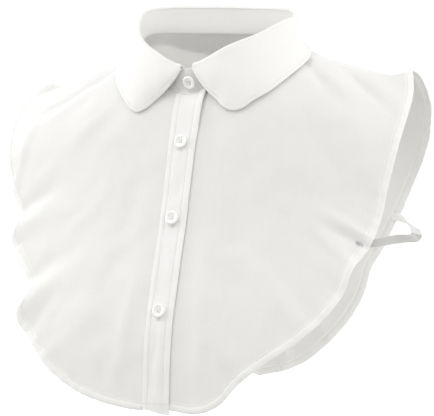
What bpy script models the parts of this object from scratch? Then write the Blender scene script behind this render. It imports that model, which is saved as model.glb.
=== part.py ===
"""Detachable half shirt: a rounded collar on a stand, two front bibs, a back bib,
a buttoned placket and an elastic at each side, filled out as if it were worn.

Frame: metres, +Z up. The front faces -Y and +X is the wearer's left.
The origin is the middle of the neck, which is where the wearer holds it up.
Sizes and tables are in millimetres and become metres when a mesh is made.

Every panel is drawn on the flat first, as a place (across, drop): across is the
distance from the centre line, drop is the distance down the cloth from the
shoulder line. body_point bends such a place to the worn form, so seams, placket,
buttons and collar edge are all placed with the same two numbers.
"""
import bpy
import numpy as np

for item in list(bpy.data.objects):
    bpy.data.objects.remove(item, do_unlink=True)

MM = 0.001

# Driving dimensions of the neck and shoulders
NECK_HALF_WIDTH = 64.0
NECK_FRONT_DROP = 67.0
NECK_BACK_DROP = 61.0
SHOULDER_TIP = 166.0
SHOULDER_HEIGHT = 7.0
SHOULDER_FALL = 21.5
SHOULDER_SWING = 10.0
SHOULDER_SETBACK = -1.5
NECK_FRONT_DEPTH = 55.0
NECK_BACK_DEPTH = 58.0

# Driving dimensions of the cloth and its seams
CLOTH = 1.2
HEM_WIDTH = 6.0
HEM_TURN = 0.5
SEAM_GAP = 0.35
PLACKET_HALF_WIDTH = 11.0
PLACKET_CLOTH = 1.6
PLACKET_PROUD = 0.4
PLACKET_DROP = 322.5
PLACKET_END_STEP = 3.5
PLACKET_FLARE = 5.0
PLACKET_FLARE_FADE = 25.0
UNDERLAP = 10.0
STAND_CLOTH = 2.0
STAND_PROUD = 0.4
LEAF_CLOTH = 1.7
LEAF_REST = 1.2
ROLL_RADIUS = 0.8

# Buttons and elastics
BUTTON_DIAMETER = 11.0
BUTTON_HEIGHT = 2.6
BUTTON_DROPS = (109.0, 171.5, 246.5)
STAND_BUTTON_AROUND = 362.0
STAND_BUTTON_HEIGHT = 0.50
STAND_BUTTON_CLEARANCE = 0.55
ELASTIC_THICKNESS = 1.0

# How steeply the cloth falls, in degrees below level, as it goes down the body
FORM = np.array((
    # drop, front centre, front side, back centre, back side
    (0, 4, 4, -4, -4),
    (15, 20, 36, 1, 27),
    (30, 36, 44, 6, 44),
    (45, 46, 49, 16, 55),
    (65, 61, 56, 39, 65),
    (85, 72, 71, 59, 73),
    (105, 75, 80, 69, 78),
    (130, 76, 81, 77, 81),
    (160, 75.5, 70, 83, 85),
    (200, 72, 68, 88.5, 87),
    (240, 74, 76, 92, 88),
    (280, 84, 84, 95, 88),
    (340, 89, 88, 95, 90),
))

# How far the shoulder line dips below an even fall, and lifts at its tip
SHOULDER_DIP = np.array((
    # across, height
    (0, 0), (64, 0), (85, -4), (110, -6), (142, -8), (152, -6.5), (160, -3), (170, 3), (185, 9),
))
SHOULDER_DIP_FADE = 40.0

# How far the cloth climbs up the neck, going round from the centre front
NECK_CLIMB = np.array((
    # degrees from the front, height
    (-30, 8), (0, 0), (30, 8), (60, 11), (90, 14.5), (135, 25.5), (180, 32), (225, 25.5),
))
NECK_CLIMB_FADE = 2.7

# How much higher the collar sits on the wearer's right, which is an uneven set of the cloth
NECK_TILT = np.array((
    # degrees from the front, height
    (0, 0), (30, 0), (60, 4), (90, 7), (135, 5), (180, 5),
))

# The cut edges, from the centre of the hem round the side and armhole to the shoulder tip
FRONT_LEFT_EDGE = np.array((
    # across, drop
    (-UNDERLAP, 322), (13, 322), (31, 323), (45, 319), (55, 312), (66, 298), (85, 280), (112, 256),
    (131, 233), (143, 210), (149, 188), (158, 168), (163, 149), (168, 117), (172, 95), (176, 61),
    (176, 35), (171, 14), (166, 0),
))
FRONT_RIGHT_EDGE = np.array((
    # across, drop
    (PLACKET_HALF_WIDTH, 323), (22, 322), (38, 319), (55, 314), (71, 307), (86, 297), (99, 286),
    (109, 274), (124, 254), (133, 241), (133, 230), (130, 215), (136, 201), (149, 180), (156, 164),
    (154, 150), (156, 138), (165, 119), (172, 102), (178, 76), (181, 54), (178, 34), (170, 16), (166, 0),
))
BACK_EDGE = np.array((
    # across, drop
    (0, 347), (23, 339), (44, 325), (58, 309), (83, 275), (94, 253), (99, 239), (103, 224),
    (110, 207), (122, 183), (135, 155), (148, 123), (160, 93), (168, 64), (171, 45), (170, 28), (166, 0),
))

# The largest soft folds of the fronts and the back
FOLDS = {
    "front": np.array((
        # across, drop, degrees the crest points down from level, half width, half length, height
        (-170, 160, 12, 13, 50, 5),
        (-160, 146, 16, 9, 40, -3),
        (-150, 238, 26, 12, 45, 5),
        (-140, 212, 22, 11, 45, -4),
        (170, 205, 20, 12, 40, 3),
        (168, 222, 24, 10, 36, -3),
        (95, 130, 62, 26, 60, 2),
    )),
    "back": np.array((
        (120, 205, 24, 13, 45, 4),
        (-122, 200, 22, 13, 45, 4),
        (60, 300, 60, 11, 40, 3),
        (-56, 304, 64, 11, 40, 3),
        (20, 320, 82, 10, 45, 3),
        (-18, 318, 98, 10, 45, 3),
    )),
}

# Height of the collar stand above its seam, going round from the centre front
STAND_HEIGHT = np.array((
    # degrees from the front, height
    (0, 19.5), (30, 19), (60, 17.5), (90, 18), (135, 20), (180, 20),
))
STAND_LEAN = 1.5
STAND_LAP = 15.0
STAND_LAP_FADE = (14.0, 60.0)
STAND_END_RADIUS = 14.0
STAND_END_DROP = 0.7
STAND_SWEEP = 9.0
LAP_ANGLE = float(np.degrees(np.arcsin(STAND_LAP / NECK_HALF_WIDTH)))

# The outer edge of the collar leaf where it rests on the fronts and on the back
LEAF_FRONT_EDGE = {
    "left": ((29, 79), (35, 84), (42, 86), (49, 84), (57, 77), (68, 67), (81, 46), (88, 20)),
    "right": ((29, 78), (36, 83.5), (43, 85), (50, 80.5), (57, 72), (65, 61), (74, 41), (79, 19)),
}
LEAF_BACK_EDGE = ((82, 0), (76, 13), (67, 28), (53, 51), (30, 68), (0, 75))
LEAF_FIRST_ANGLE = 4.5
LEAF_FRONT_BOW = 2.5
LEAF_BOW_REACH = 30.0
LEAF_BOW = np.array((
    # degrees from the front, how far the leaf bellies out between its fold and its edge
    (0, 2.5), (45, 2), (90, -3), (120, -0.5), (180, 1.5),
))

# The elastic at each side: a narrow band, sewn inside both edges and bunched where it turns
ELASTIC_FRONT_END = ((148, 169), (155, 166))
ELASTIC_BACK_END = ((131, 164), (123, 167))
ELASTIC_END_WIDTH = 6.0
ELASTIC_ROUTE = np.array((
    # across, back, up, width, degrees its face turns from upright
    (166, -26, -147, 6, 0),
    (170, 2, -146.5, 6, 5),
    (168, 15, -145.5, 8, 30),
    (161, 36, -141, 8, 45),
    (149, 58, -137, 6, 20),
))

# Grid sizes
PANEL_COLUMNS = 44
BACK_COLUMNS = 57
PANEL_ROWS = 11
PANEL_ROW_SPREAD = 0.9
PLACKET_COLUMNS = 7
PLACKET_ROWS = 34
STAND_COLUMNS = 77
STAND_ROWS = 7
LEAF_HALF_COLUMNS = 34
ROLL_ROWS = 5
LEAF_ROWS = 8
ELASTIC_COLUMNS = 45
BUTTON_SIDES = 20

# Colours as linear RGB, with roughness and metallic
MATERIALS = {
    "white_poplin": ((0.83, 0.83, 0.82), 0.72, 0.0),
    "white_collar_cloth": ((0.87, 0.86, 0.85), 0.66, 0.0),
    "pearl_resin": ((0.86, 0.86, 0.84), 0.28, 0.0),
    "white_elastic": ((0.66, 0.66, 0.65), 0.8, 0.0),
}


def smooth(table, at, column=1):
    """Smooth curve through a column of a table: a cubic between rows, each row's
    slope being the weighted mean of its two neighbouring slopes. Straight beyond the ends."""
    table = np.asarray(table, float)
    knots = table[:, 0]
    values = table[:, column]
    slopes = np.diff(values) / np.diff(knots)
    gaps = np.diff(knots)
    tangents = np.concatenate((
        slopes[:1],
        (slopes[:-1] * gaps[1:] + slopes[1:] * gaps[:-1]) / (gaps[1:] + gaps[:-1]),
        slopes[-1:],
    ))
    at = np.asarray(at, float)
    inside = np.clip(at, knots[0], knots[-1])
    row = np.clip(np.searchsorted(knots, inside, side="right") - 1, 0, len(knots) - 2)
    gap = knots[row + 1] - knots[row]
    part = (inside - knots[row]) / gap
    start = values[row] * (2 * part ** 3 - 3 * part ** 2 + 1)
    end = values[row + 1] * (3 * part ** 2 - 2 * part ** 3)
    leave = tangents[row] * gap * (part ** 3 - 2 * part ** 2 + part)
    arrive = tangents[row + 1] * gap * (part ** 3 - part ** 2)
    beyond = np.where(at < inside, tangents[0], tangents[-1]) * (at - inside)
    return start + end + leave + arrive + beyond


def fade(value, low, high):
    """Smooth step from 0 at low to 1 at high."""
    part = np.clip((np.asarray(value, float) - low) / (high - low), 0, 1)
    return part * part * (3 - 2 * part)


def summed_form():
    """Reach and fall of the four profiles in FORM, summed from their slopes each millimetre."""
    drops = np.arange(0.0, 420.0)
    sums = {}
    for column, name in enumerate(("front centre", "front side", "back centre", "back side"), start=1):
        slope = np.radians(smooth(FORM, drops + 0.5, column))
        reach = np.concatenate(((0,), np.cumsum(np.cos(slope))))[:-1]
        fall = np.concatenate(((0,), np.cumsum(np.sin(slope))))[:-1]
        sums[name] = (drops, reach, fall)
    return sums


SUMS = summed_form()


def profile(name, drop):
    """How far a profile has reached outwards and fallen at a drop."""
    drops, reach, fall = SUMS[name]
    slope = np.radians(smooth(FORM, 0, 1 + list(SUMS).index(name)))
    above = np.minimum(drop, 0)
    return (
        np.interp(drop, drops, reach) + above * np.cos(slope),
        np.interp(drop, drops, fall) + above * np.sin(slope),
    )


def fold_height(side, across, drop):
    """Sum of the soft folds: each is a bell across its crest and a longer bell along it."""
    height = np.zeros(np.broadcast(across, drop).shape)
    for place, down, turn, half_width, half_length, rise in FOLDS[side]:
        turn = np.radians(turn)
        outwards = np.sign(place)
        along = (across - place) * outwards * np.cos(turn) + (drop - down) * np.sin(turn)
        aside = -(across - place) * outwards * np.sin(turn) + (drop - down) * np.cos(turn)
        height += rise * np.exp(-(aside / half_width) ** 2 - (along / half_length) ** 2)
    return height


def body_point(side, across, drop):
    """Outer face of the worn cloth. The centre and side profiles are mixed by the square of
    the distance across, the shoulder's dip fades down the cloth, and the climb up the neck
    fades with the distance from it. The collar sits a little higher on the wearer's right."""
    across, drop = np.broadcast_arrays(np.asarray(across, float), np.asarray(drop, float))
    facing = -1 if side == "front" else 1
    mix = (across / SHOULDER_TIP) ** 2
    centre_reach, centre_fall = profile(side + " centre", drop)
    side_reach, side_fall = profile(side + " side", drop)
    reach = centre_reach + mix * (side_reach - centre_reach)
    fall = centre_fall + mix * (side_fall - centre_fall)
    back = SHOULDER_SETBACK + SHOULDER_SWING * mix + facing * reach
    dip = smooth(SHOULDER_DIP, np.abs(across)) * np.exp(-np.abs(drop) / SHOULDER_DIP_FADE)
    neck_depth = np.where(back < 0, NECK_FRONT_DEPTH, NECK_BACK_DEPTH)
    angle = np.degrees(np.arctan2(np.abs(across) / NECK_HALF_WIDTH, -back / neck_depth))
    distance = np.hypot(across / NECK_HALF_WIDTH, back / neck_depth)
    lean = across / NECK_HALF_WIDTH / np.maximum(distance, 0.5)
    climb = smooth(NECK_CLIMB, angle) - smooth(NECK_TILT, angle) * lean
    climb = climb * np.exp(-np.maximum(distance - 1, 0) * NECK_CLIMB_FADE)
    up = SHOULDER_HEIGHT - SHOULDER_FALL * mix + dip - fall + climb
    return np.stack((across, back, up), -1)


def body_normal(side, across, drop):
    """Outward direction of the worn cloth, from its slopes across and down."""
    reach = 1.5
    across = np.asarray(across, float)
    drop = np.asarray(drop, float)
    sideways = body_point(side, across + reach, drop) - body_point(side, across - reach, drop)
    downwards = body_point(side, across, drop + reach) - body_point(side, across, drop - reach)
    normal = np.cross(downwards, sideways)
    normal *= 1 if side == "front" else -1
    return normal / np.linalg.norm(normal, axis=-1, keepdims=True)


def on_body(side, across, drop, out):
    """The place moved out from the cloth's outer face, with the soft folds added."""
    lift = fold_height(side, across, drop) + out
    return body_point(side, across, drop) + body_normal(side, across, drop) * lift[..., None]


def outline(table, count, clearance):
    """Evenly spaced points along a smooth cut edge, and the direction into the cloth at each."""
    table = np.asarray(table, float)
    chord = np.concatenate(((0,), np.cumsum(np.hypot(*np.diff(table, axis=0).T))))
    fine = np.linspace(0, chord[-1], 1500)
    rows = np.column_stack((chord, table))
    edge = np.column_stack((smooth(rows, fine, 1), smooth(rows, fine, 2)))
    length = np.concatenate(((0,), np.cumsum(np.hypot(*np.diff(edge, axis=0).T))))
    even = np.linspace(0, length[-1], count)
    points = np.column_stack((np.interp(even, length, edge[:, 0]), np.interp(even, length, edge[:, 1])))
    run = np.gradient(points, axis=0)
    inward = np.column_stack((-run[:, 1], run[:, 0])) * -1
    inward[0] = (0, -1)
    inward[-1] = (-1, 0)
    inward /= np.linalg.norm(inward, axis=1, keepdims=True)
    points[-1, 1] = clearance
    return points, inward


def neck_place(around):
    """Place of the neck seam on the flat, and the direction away from the neck there: a half
    ellipse on the front and another on the back, round from the centre front in degrees."""
    turn = np.radians(around)
    depth = np.where(np.cos(turn) > 0, NECK_FRONT_DROP, NECK_BACK_DROP)
    across = NECK_HALF_WIDTH * np.sin(turn)
    drop = depth * np.abs(np.cos(turn))
    away = np.stack((across / NECK_HALF_WIDTH ** 2, drop / depth ** 2), -1)
    return across, drop, away / np.linalg.norm(away, axis=-1, keepdims=True)


def panel_grid(edge_table, depth, first_across, columns):
    """Places of one half panel: rows spread from the neck seam to the hem zone, and then run
    along the cut edge; columns fan out from the neck."""
    first = np.arcsin(first_across / NECK_HALF_WIDTH)
    turn = np.linspace(first, np.pi / 2, columns)
    neck = np.column_stack((NECK_HALF_WIDTH * np.sin(turn), depth * np.cos(turn)))
    neck[-1, 1] = SEAM_GAP / 2
    edge, inward = outline(edge_table, columns, SEAM_GAP / 2)
    zone = edge + inward * HEM_WIDTH * 2
    spread = np.linspace(0, 1, PANEL_ROWS - 2) ** PANEL_ROW_SPREAD
    rows = [neck + part * (zone - neck) for part in spread]
    rows.append(edge + inward * HEM_WIDTH)
    rows.append(edge)
    return np.array(rows)


def hem_turn(rows, columns):
    """Extra thickness on the inside of the last two rows, where the edge is turned under."""
    turn = np.zeros((rows, columns))
    turn[-2:] = HEM_TURN
    return turn


def overlap_shift(across):
    """How far the wearer's left front is pressed in where it passes under the placket."""
    under = PLACKET_CLOTH - PLACKET_PROUD + SEAM_GAP
    return -under * (1 - fade(across, PLACKET_HALF_WIDTH, 5 * PLACKET_HALF_WIDTH))


def make_object(name, corners, faces, material):
    """Closed mesh in metres with its faces turned outwards, smooth but for its edges."""
    corners = np.asarray(corners) * MM
    volume = 0.0
    for face in faces:
        for second, third in zip(face[1:-1], face[2:]):
            volume += np.dot(corners[face[0]], np.cross(corners[second], corners[third]))
    if volume < 0:
        faces = [tuple(reversed(face)) for face in faces]
    mesh = bpy.data.meshes.new(name)
    mesh.from_pydata([tuple(corner) for corner in corners], [], faces)
    mesh.materials.append(surface(material))
    mesh.shade_smooth()
    mesh.set_sharp_from_angle(angle=np.radians(50))
    made = bpy.data.objects.new(name, mesh)
    bpy.context.scene.collection.objects.link(made)
    return made


def surface(name):
    """Principled material from the table, made once."""
    found = bpy.data.materials.get(name)
    if found:
        return found
    colour, roughness, metallic = MATERIALS[name]
    made = bpy.data.materials.new(name)
    made.use_nodes = True
    shader = made.node_tree.nodes["Principled BSDF"]
    shader.inputs["Base Color"].default_value = (*colour, 1)
    shader.inputs["Roughness"].default_value = roughness
    shader.inputs["Metallic"].default_value = metallic
    return made


def make_wall(name, outer, inner, material):
    """Cloth wall between two grids of points with the same rows and columns."""
    rows, columns = outer.shape[:2]
    index = np.arange(rows * columns).reshape(rows, columns)
    under = index + rows * columns
    faces = []
    for row in range(rows - 1):
        for column in range(columns - 1):
            quad = (index[row, column], index[row, column + 1],
                    index[row + 1, column + 1], index[row + 1, column])
            faces.append(tuple(int(corner) for corner in quad))
            faces.append(tuple(int(corner) + rows * columns for corner in reversed(quad)))
    rim = [*index[0, :], *index[1:, -1], *index[-1, -2::-1], *index[-2:0:-1, 0]]
    below = [*under[0, :], *under[1:, -1], *under[-1, -2::-1], *under[-2:0:-1, 0]]
    for here in range(len(rim)):
        after = (here + 1) % len(rim)
        faces.append((int(rim[after]), int(rim[here]), int(below[here]), int(below[after])))
    corners = np.concatenate((outer.reshape(-1, 3), inner.reshape(-1, 3)))
    return make_object(name, corners, faces, material)


def make_front(name, edge_table, sign, first_across):
    """One front bib. The wearer's left one is pressed in where the placket covers it."""
    grid = panel_grid(edge_table, NECK_FRONT_DROP, first_across, PANEL_COLUMNS)
    across = grid[..., 0]
    drop = grid[..., 1]
    shift = overlap_shift(across) if sign > 0 else np.zeros(across.shape)
    outer = on_body("front", across * sign, drop, shift)
    inner = on_body("front", across * sign, drop, shift - CLOTH - hem_turn(*across.shape))
    return make_wall(name, outer, inner, "white_poplin")


def make_back():
    """The back bib, both halves in one piece."""
    half = (BACK_COLUMNS + 1) // 2
    grid = panel_grid(BACK_EDGE, NECK_BACK_DROP, 0.0, half)
    mirrored = grid[:, :0:-1] * (-1, 1)
    grid = np.concatenate((mirrored, grid), axis=1)
    across = grid[..., 0]
    drop = grid[..., 1]
    outer = on_body("back", across, drop, np.zeros(across.shape))
    inner = on_body("back", across, drop, -CLOTH - hem_turn(*across.shape))
    return make_wall("back", outer, inner, "white_poplin")


def make_placket():
    """The band down the centre front, a straight strip of the wearer's right front."""
    half = PLACKET_HALF_WIDTH
    across = np.linspace(-half + SEAM_GAP, half, PLACKET_COLUMNS)
    top = NECK_FRONT_DROP * np.sqrt(1 - (across / NECK_HALF_WIDTH) ** 2)
    bottom = PLACKET_DROP + PLACKET_END_STEP * fade(across, -half, half)
    part = np.linspace(0, 1, PLACKET_ROWS)[:, None]
    drop = top + part * (bottom - top)
    flare = PLACKET_FLARE * np.exp(-(drop - NECK_FRONT_DROP) / PLACKET_FLARE_FADE)
    across = across + np.maximum(across, 0) / half * flare
    outer = on_body("front", across, drop, np.full(drop.shape, PLACKET_PROUD))
    inner = on_body("front", across, drop, np.full(drop.shape, PLACKET_PROUD - PLACKET_CLOTH))
    return make_wall("placket", outer, inner, "white_poplin")


def neck_frame(around):
    """Point, outward direction and upward direction along the cloth at the neck seam."""
    around = np.asarray(around, float)
    across, drop, away = neck_place(around)
    front = np.cos(np.radians(around)) > 0
    step = 1.0
    point = np.where(front[..., None], body_point("front", across, drop), body_point("back", across, drop))
    further = np.where(
        front[..., None],
        body_point("front", across + away[..., 0] * step, drop + away[..., 1] * step),
        body_point("back", across + away[..., 0] * step, drop + away[..., 1] * step),
    )
    upward = point - further
    upward /= np.linalg.norm(upward, axis=-1, keepdims=True)
    turn = np.radians(around)
    along = np.stack((
        NECK_HALF_WIDTH * np.cos(turn),
        NECK_FRONT_DROP * np.sin(turn),
        np.zeros(turn.shape),
    ), -1)
    outward = np.cross(along, upward)
    outward /= np.linalg.norm(outward, axis=-1, keepdims=True)
    return point, outward, upward


def front_angle(around):
    """Degrees from the centre front, from 0 to 180, for a turn of any size."""
    return np.abs((np.asarray(around, float) + 180) % 360 - 180)


def stand_layer(around):
    """How far the stand is pressed in: its left end passes under its right end."""
    under = STAND_CLOTH + SEAM_GAP
    return -under * (1 - fade(around, *STAND_LAP_FADE))


def stand_end(around):
    """Share of the full height near the two rounded ends of the stand."""
    reach = NECK_HALF_WIDTH * np.radians(np.minimum(
        np.asarray(around) + LAP_ANGLE, 360 + LAP_ANGLE - np.asarray(around)))
    part = np.clip(1 - reach / STAND_END_RADIUS, 0, 1)
    return 1 - STAND_END_DROP * (1 - np.sqrt(1 - part ** 2))



def stand_point(around, height, out=0.0):
    """Point of the stand at a share of its height. It leaves the seam along the cloth of the
    fronts and back and turns upright, leaning out a little."""
    around, height = np.broadcast_arrays(np.asarray(around, float), np.asarray(height, float))
    point, outward, upward = neck_frame(around)
    level = outward * (1, 1, 0)
    level /= np.linalg.norm(level, axis=-1, keepdims=True)
    tall = smooth(STAND_HEIGHT, front_angle(around))
    top = point + level * STAND_LEAN
    top[..., 2] = point[..., 2] + tall
    start = point + upward * SEAM_GAP
    part = (height * stand_end(around))[..., None]
    straight = np.array((0, 0, 1.0))
    curve = (
        start * (2 * part ** 3 - 3 * part ** 2 + 1)
        + top * (3 * part ** 2 - 2 * part ** 3)
        + upward * STAND_SWEEP * (part ** 3 - 2 * part ** 2 + part)
        + straight * tall[..., None] * (part ** 3 - part ** 2)
    )
    turn = fade(height, 0, 0.5)[..., None]
    direction = outward * (1 - turn) + level * turn
    direction /= np.linalg.norm(direction, axis=-1, keepdims=True)
    shift = stand_layer(around) + out
    return curve + direction * np.asarray(shift)[..., None], direction


def make_stand():
    """The band round the neck, its right end lapped over its left end at the centre front."""
    around = np.linspace(-LAP_ANGLE, 360 + LAP_ANGLE, STAND_COLUMNS)
    height = np.linspace(0, 1, STAND_ROWS)[:, None]
    around, height = np.broadcast_arrays(around, height)
    outer = stand_point(around, height, STAND_PROUD)[0]
    inner = stand_point(around, height, STAND_PROUD - STAND_CLOTH)[0]
    return make_wall("collar_stand", outer, inner, "white_collar_cloth")


def leaf_edge(side, count):
    """Under face of the leaf's edge from the front end of the fold, down the front edge,
    round the corner and along the fronts and back to the centre back."""
    sign = 1 if side == "left" else -1
    around = LEAF_FIRST_ANGLE if sign > 0 else 360 - LEAF_FIRST_ANGLE
    start = fold_point(np.array(around), 1.0)[0]
    front = np.array(LEAF_FRONT_EDGE[side], float)
    back = np.array(LEAF_BACK_EDGE, float)
    rest = np.full(len(front), LEAF_REST)
    on_front = on_body("front", front[:, 0] * sign, front[:, 1], rest)
    on_back = on_body("back", back[:, 0] * sign, back[:, 1], np.full(len(back), LEAF_REST))
    first = on_front[0]
    parts = np.array((0.02, 0.25, 0.5, 0.75))[:, None]
    rising = start + parts * (first - start)
    rising[:, 0] -= sign * LEAF_FRONT_BOW * 4 * (parts * (1 - parts))[:, 0]
    points = np.concatenate((rising, on_front, on_back))
    chord = np.concatenate(((0,), np.cumsum(np.linalg.norm(np.diff(points, axis=0), axis=1))))
    rows = np.column_stack((chord, points))
    at = np.linspace(0, chord[-1], count)
    return np.column_stack([smooth(rows, at, column) for column in (1, 2, 3)])


def fold_point(around, part):
    """Under face of the roll at the fold, from the neck side at 0 to the outer side at 1."""
    top, level = stand_point(around, np.ones(np.shape(around)))
    turn = np.pi * (1 - np.asarray(part, float))
    radius = (ROLL_RADIUS - stand_layer(around) / 2)[..., None]
    centre = top + level * (radius + 0.2) + np.array((0, 0, SEAM_GAP + 0.1))
    swing = level * np.cos(turn)[..., None] + np.array((0, 0, 1.0)) * np.sin(turn)[..., None]
    return centre + swing * radius, swing


def leaf_half(side):
    """Under face and outward directions of one half of the leaf, front end first."""
    count = LEAF_HALF_COLUMNS
    around = np.linspace(LEAF_FIRST_ANGLE, 180, count)
    if side == "right":
        around = 360 - around
    edge = leaf_edge(side, count)
    rows = []
    for part in np.linspace(0, 1, ROLL_ROWS):
        rows.append(fold_point(around, np.full(count, part))[0])
    fold_end, level = fold_point(around, np.ones(count))
    level = level * (1, 1, 0)
    for part in np.linspace(0, 1, LEAF_ROWS)[1:]:
        bow = level * smooth(LEAF_BOW, front_angle(around))[:, None] * 4 * part * (1 - part)
        reach = np.linalg.norm(edge - fold_end, axis=1)[:, None]
        rows.append(fold_end + part * (edge - fold_end) + bow * np.minimum(reach / LEAF_BOW_REACH, 1))
    return np.array(rows)


def grid_normals(points, towards):
    """Directions square to a grid of points, on the side that towards lies on."""
    down = np.gradient(points, axis=0)
    along = np.gradient(points, axis=1)
    normal = np.cross(down, along)
    normal /= np.maximum(np.linalg.norm(normal, axis=-1, keepdims=True), 1e-9)
    if np.sum(normal * towards) < 0:
        normal = -normal
    return normal


def make_leaf():
    """The turned-down leaf in one piece, both rounded ends at the front."""
    left = leaf_half("left")
    right = leaf_half("right")
    under = np.concatenate((left, right[:, -2::-1]), axis=1)
    outwards = under - under.mean(axis=(0, 1))
    outwards[:ROLL_ROWS - 1] = 0
    normal = grid_normals(under, outwards)
    count = under.shape[1]
    around = np.concatenate((
        np.linspace(LEAF_FIRST_ANGLE, 180, LEAF_HALF_COLUMNS),
        np.linspace(180, 360 - LEAF_FIRST_ANGLE, LEAF_HALF_COLUMNS)[1:],
    ))
    for row, part in enumerate(np.linspace(0, 1, ROLL_ROWS)):
        normal[row] = fold_point(around, np.full(count, part))[1]
    outer = under + normal * LEAF_CLOTH
    return make_wall("collar_leaf", outer, under, "white_collar_cloth")


def make_button(name, centre, axis):
    """Turned button: a rounded rim round a shallow dish, its flat back towards the cloth."""
    half = BUTTON_DIAMETER / 2
    profile_points = (
        # radius, height
        (0, 0), (half - 1.8, 0), (half - 0.4, 0.7), (half, 1.4), (half - 0.4, 2.2),
        (half - 1.2, BUTTON_HEIGHT), (half - 2.0, 2.2), (half - 2.6, 1.6), (0, 1.3),
    )
    axis = axis / np.linalg.norm(axis)
    side = np.cross((0, 0, 1.0), axis)
    side /= np.linalg.norm(side)
    up = np.cross(axis, side)
    turn = np.linspace(0, 2 * np.pi, BUTTON_SIDES, endpoint=False)
    ring = np.cos(turn)[:, None] * side + np.sin(turn)[:, None] * up
    corners = [centre + axis * profile_points[0][1]]
    for radius, height in profile_points[1:-1]:
        corners.extend(centre + ring * radius + axis * height)
    corners.append(centre + axis * profile_points[-1][1])
    last = len(corners) - 1
    faces = []
    for here in range(BUTTON_SIDES):
        after = (here + 1) % BUTTON_SIDES
        faces.append((0, 1 + after, 1 + here))
        for level in range(len(profile_points) - 3):
            low = 1 + level * BUTTON_SIDES
            high = low + BUTTON_SIDES
            faces.append((low + here, low + after, high + after, high + here))
        high = 1 + (len(profile_points) - 3) * BUTTON_SIDES
        faces.append((high + here, high + after, last))
    return make_object(name, corners, faces, "pearl_resin")


def make_buttons():
    """One button on the lapped end of the stand and three down the placket."""
    around = np.array(STAND_BUTTON_AROUND)
    out = STAND_PROUD + SEAM_GAP + STAND_BUTTON_CLEARANCE
    point, direction = stand_point(around, np.array(STAND_BUTTON_HEIGHT), out)
    make_button("button_1", point, direction)
    for number, drop in enumerate(BUTTON_DROPS, start=2):
        out = np.array(PLACKET_PROUD + SEAM_GAP)
        point = on_body("front", np.array(0.0), np.array(drop), out)
        make_button(f"button_{number}", point, body_normal("front", 0.0, drop))


def elastic_path(count):
    """Points along the elastic with the direction its face looks and its width: flat on the
    inside of the front, round the side, and flat on the inside of the back."""
    rest = CLOTH + HEM_TURN + SEAM_GAP + ELASTIC_THICKNESS / 2
    points = []
    faces = []
    for side, places in (("front", ELASTIC_FRONT_END), ("back", ELASTIC_BACK_END)):
        places = np.array(places, float)
        points.append(on_body(side, places[:, 0], places[:, 1], np.full(2, -rest)))
        faces.append(body_normal(side, places[:, 0], places[:, 1]))
    middle = ELASTIC_ROUTE[:, :3]
    points.insert(1, middle)
    flat = np.cross(np.gradient(middle, axis=0), (0, 0, 1.0)) * -1
    flat /= np.linalg.norm(flat, axis=1, keepdims=True)
    turn = np.radians(ELASTIC_ROUTE[:, 4])[:, None]
    faces.insert(1, -flat * np.cos(turn) + np.array((0, 0, 1.0)) * np.sin(turn))
    points = np.concatenate(points)
    faces = np.concatenate(faces)
    ends = np.full(2, ELASTIC_END_WIDTH)
    width = np.concatenate((ends, ELASTIC_ROUTE[:, 3], ends))
    chord = np.concatenate(((0,), np.cumsum(np.linalg.norm(np.diff(points, axis=0), axis=1))))
    rows = np.column_stack((chord, points, faces, width))
    at = np.linspace(0, chord[-1], count)
    columns = np.column_stack([smooth(rows, at, column) for column in range(1, 8)])
    return columns[:, :3], columns[:, 3:6], columns[:, 6:]


def make_elastic(name, sign):
    """Narrow elastic from the inside of the front's edge round the side to the back's edge."""
    path, thick, width = elastic_path(ELASTIC_COLUMNS)
    run = np.gradient(path, axis=0)
    run /= np.linalg.norm(run, axis=1, keepdims=True)
    thick -= run * np.sum(thick * run, axis=1, keepdims=True)
    thick /= np.linalg.norm(thick, axis=1, keepdims=True)
    wide = np.cross(run, thick) * width / 2
    outer = np.stack([path + wide * edge + thick * ELASTIC_THICKNESS / 2 for edge in (-1, 1)])
    inner = np.stack([path + wide * edge - thick * ELASTIC_THICKNESS / 2 for edge in (-1, 1)])
    mirror = np.array((sign, 1, 1))
    return make_wall(name, outer * mirror, inner * mirror, "white_elastic")


make_front("front_left", FRONT_LEFT_EDGE, 1, -UNDERLAP)
make_front("front_right", FRONT_RIGHT_EDGE, -1, PLACKET_HALF_WIDTH)
make_back()
make_placket()
make_stand()
make_leaf()
make_buttons()
make_elastic("elastic_left", 1)
make_elastic("elastic_right", -1)
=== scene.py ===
# %% [markdown]
# # A white half shirt with a rounded collar
# A detachable collar is the part of a shirt that shows above a jumper: a turned-down collar
# on its stand, two front bibs that button at the middle, a bib at the back, and a narrow
# elastic at each side. It is shown filled out, as if worn.
# The solids of every piece are loaded first. They are plain walls, so each is replaced here
# by a finer cloth of the same form, made by the same formulas on a denser grid. All sizes
# below are in millimetres and become metres when a mesh is made.

import bpy
import numpy as np
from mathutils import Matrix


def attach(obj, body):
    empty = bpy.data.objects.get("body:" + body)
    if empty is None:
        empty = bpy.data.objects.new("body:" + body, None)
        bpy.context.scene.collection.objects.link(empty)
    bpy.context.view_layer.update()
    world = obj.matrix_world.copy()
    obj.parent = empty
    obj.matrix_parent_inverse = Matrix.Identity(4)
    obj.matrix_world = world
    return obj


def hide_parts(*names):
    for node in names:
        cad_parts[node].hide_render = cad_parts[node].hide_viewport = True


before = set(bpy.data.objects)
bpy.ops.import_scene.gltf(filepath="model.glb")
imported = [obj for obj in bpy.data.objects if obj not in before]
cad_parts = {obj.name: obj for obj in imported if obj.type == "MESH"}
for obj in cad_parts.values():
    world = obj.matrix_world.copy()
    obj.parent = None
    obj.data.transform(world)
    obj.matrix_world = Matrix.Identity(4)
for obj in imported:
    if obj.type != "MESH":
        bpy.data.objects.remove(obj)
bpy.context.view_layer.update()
MM = 0.001
print("solids:", ", ".join(sorted(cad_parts)))

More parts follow.
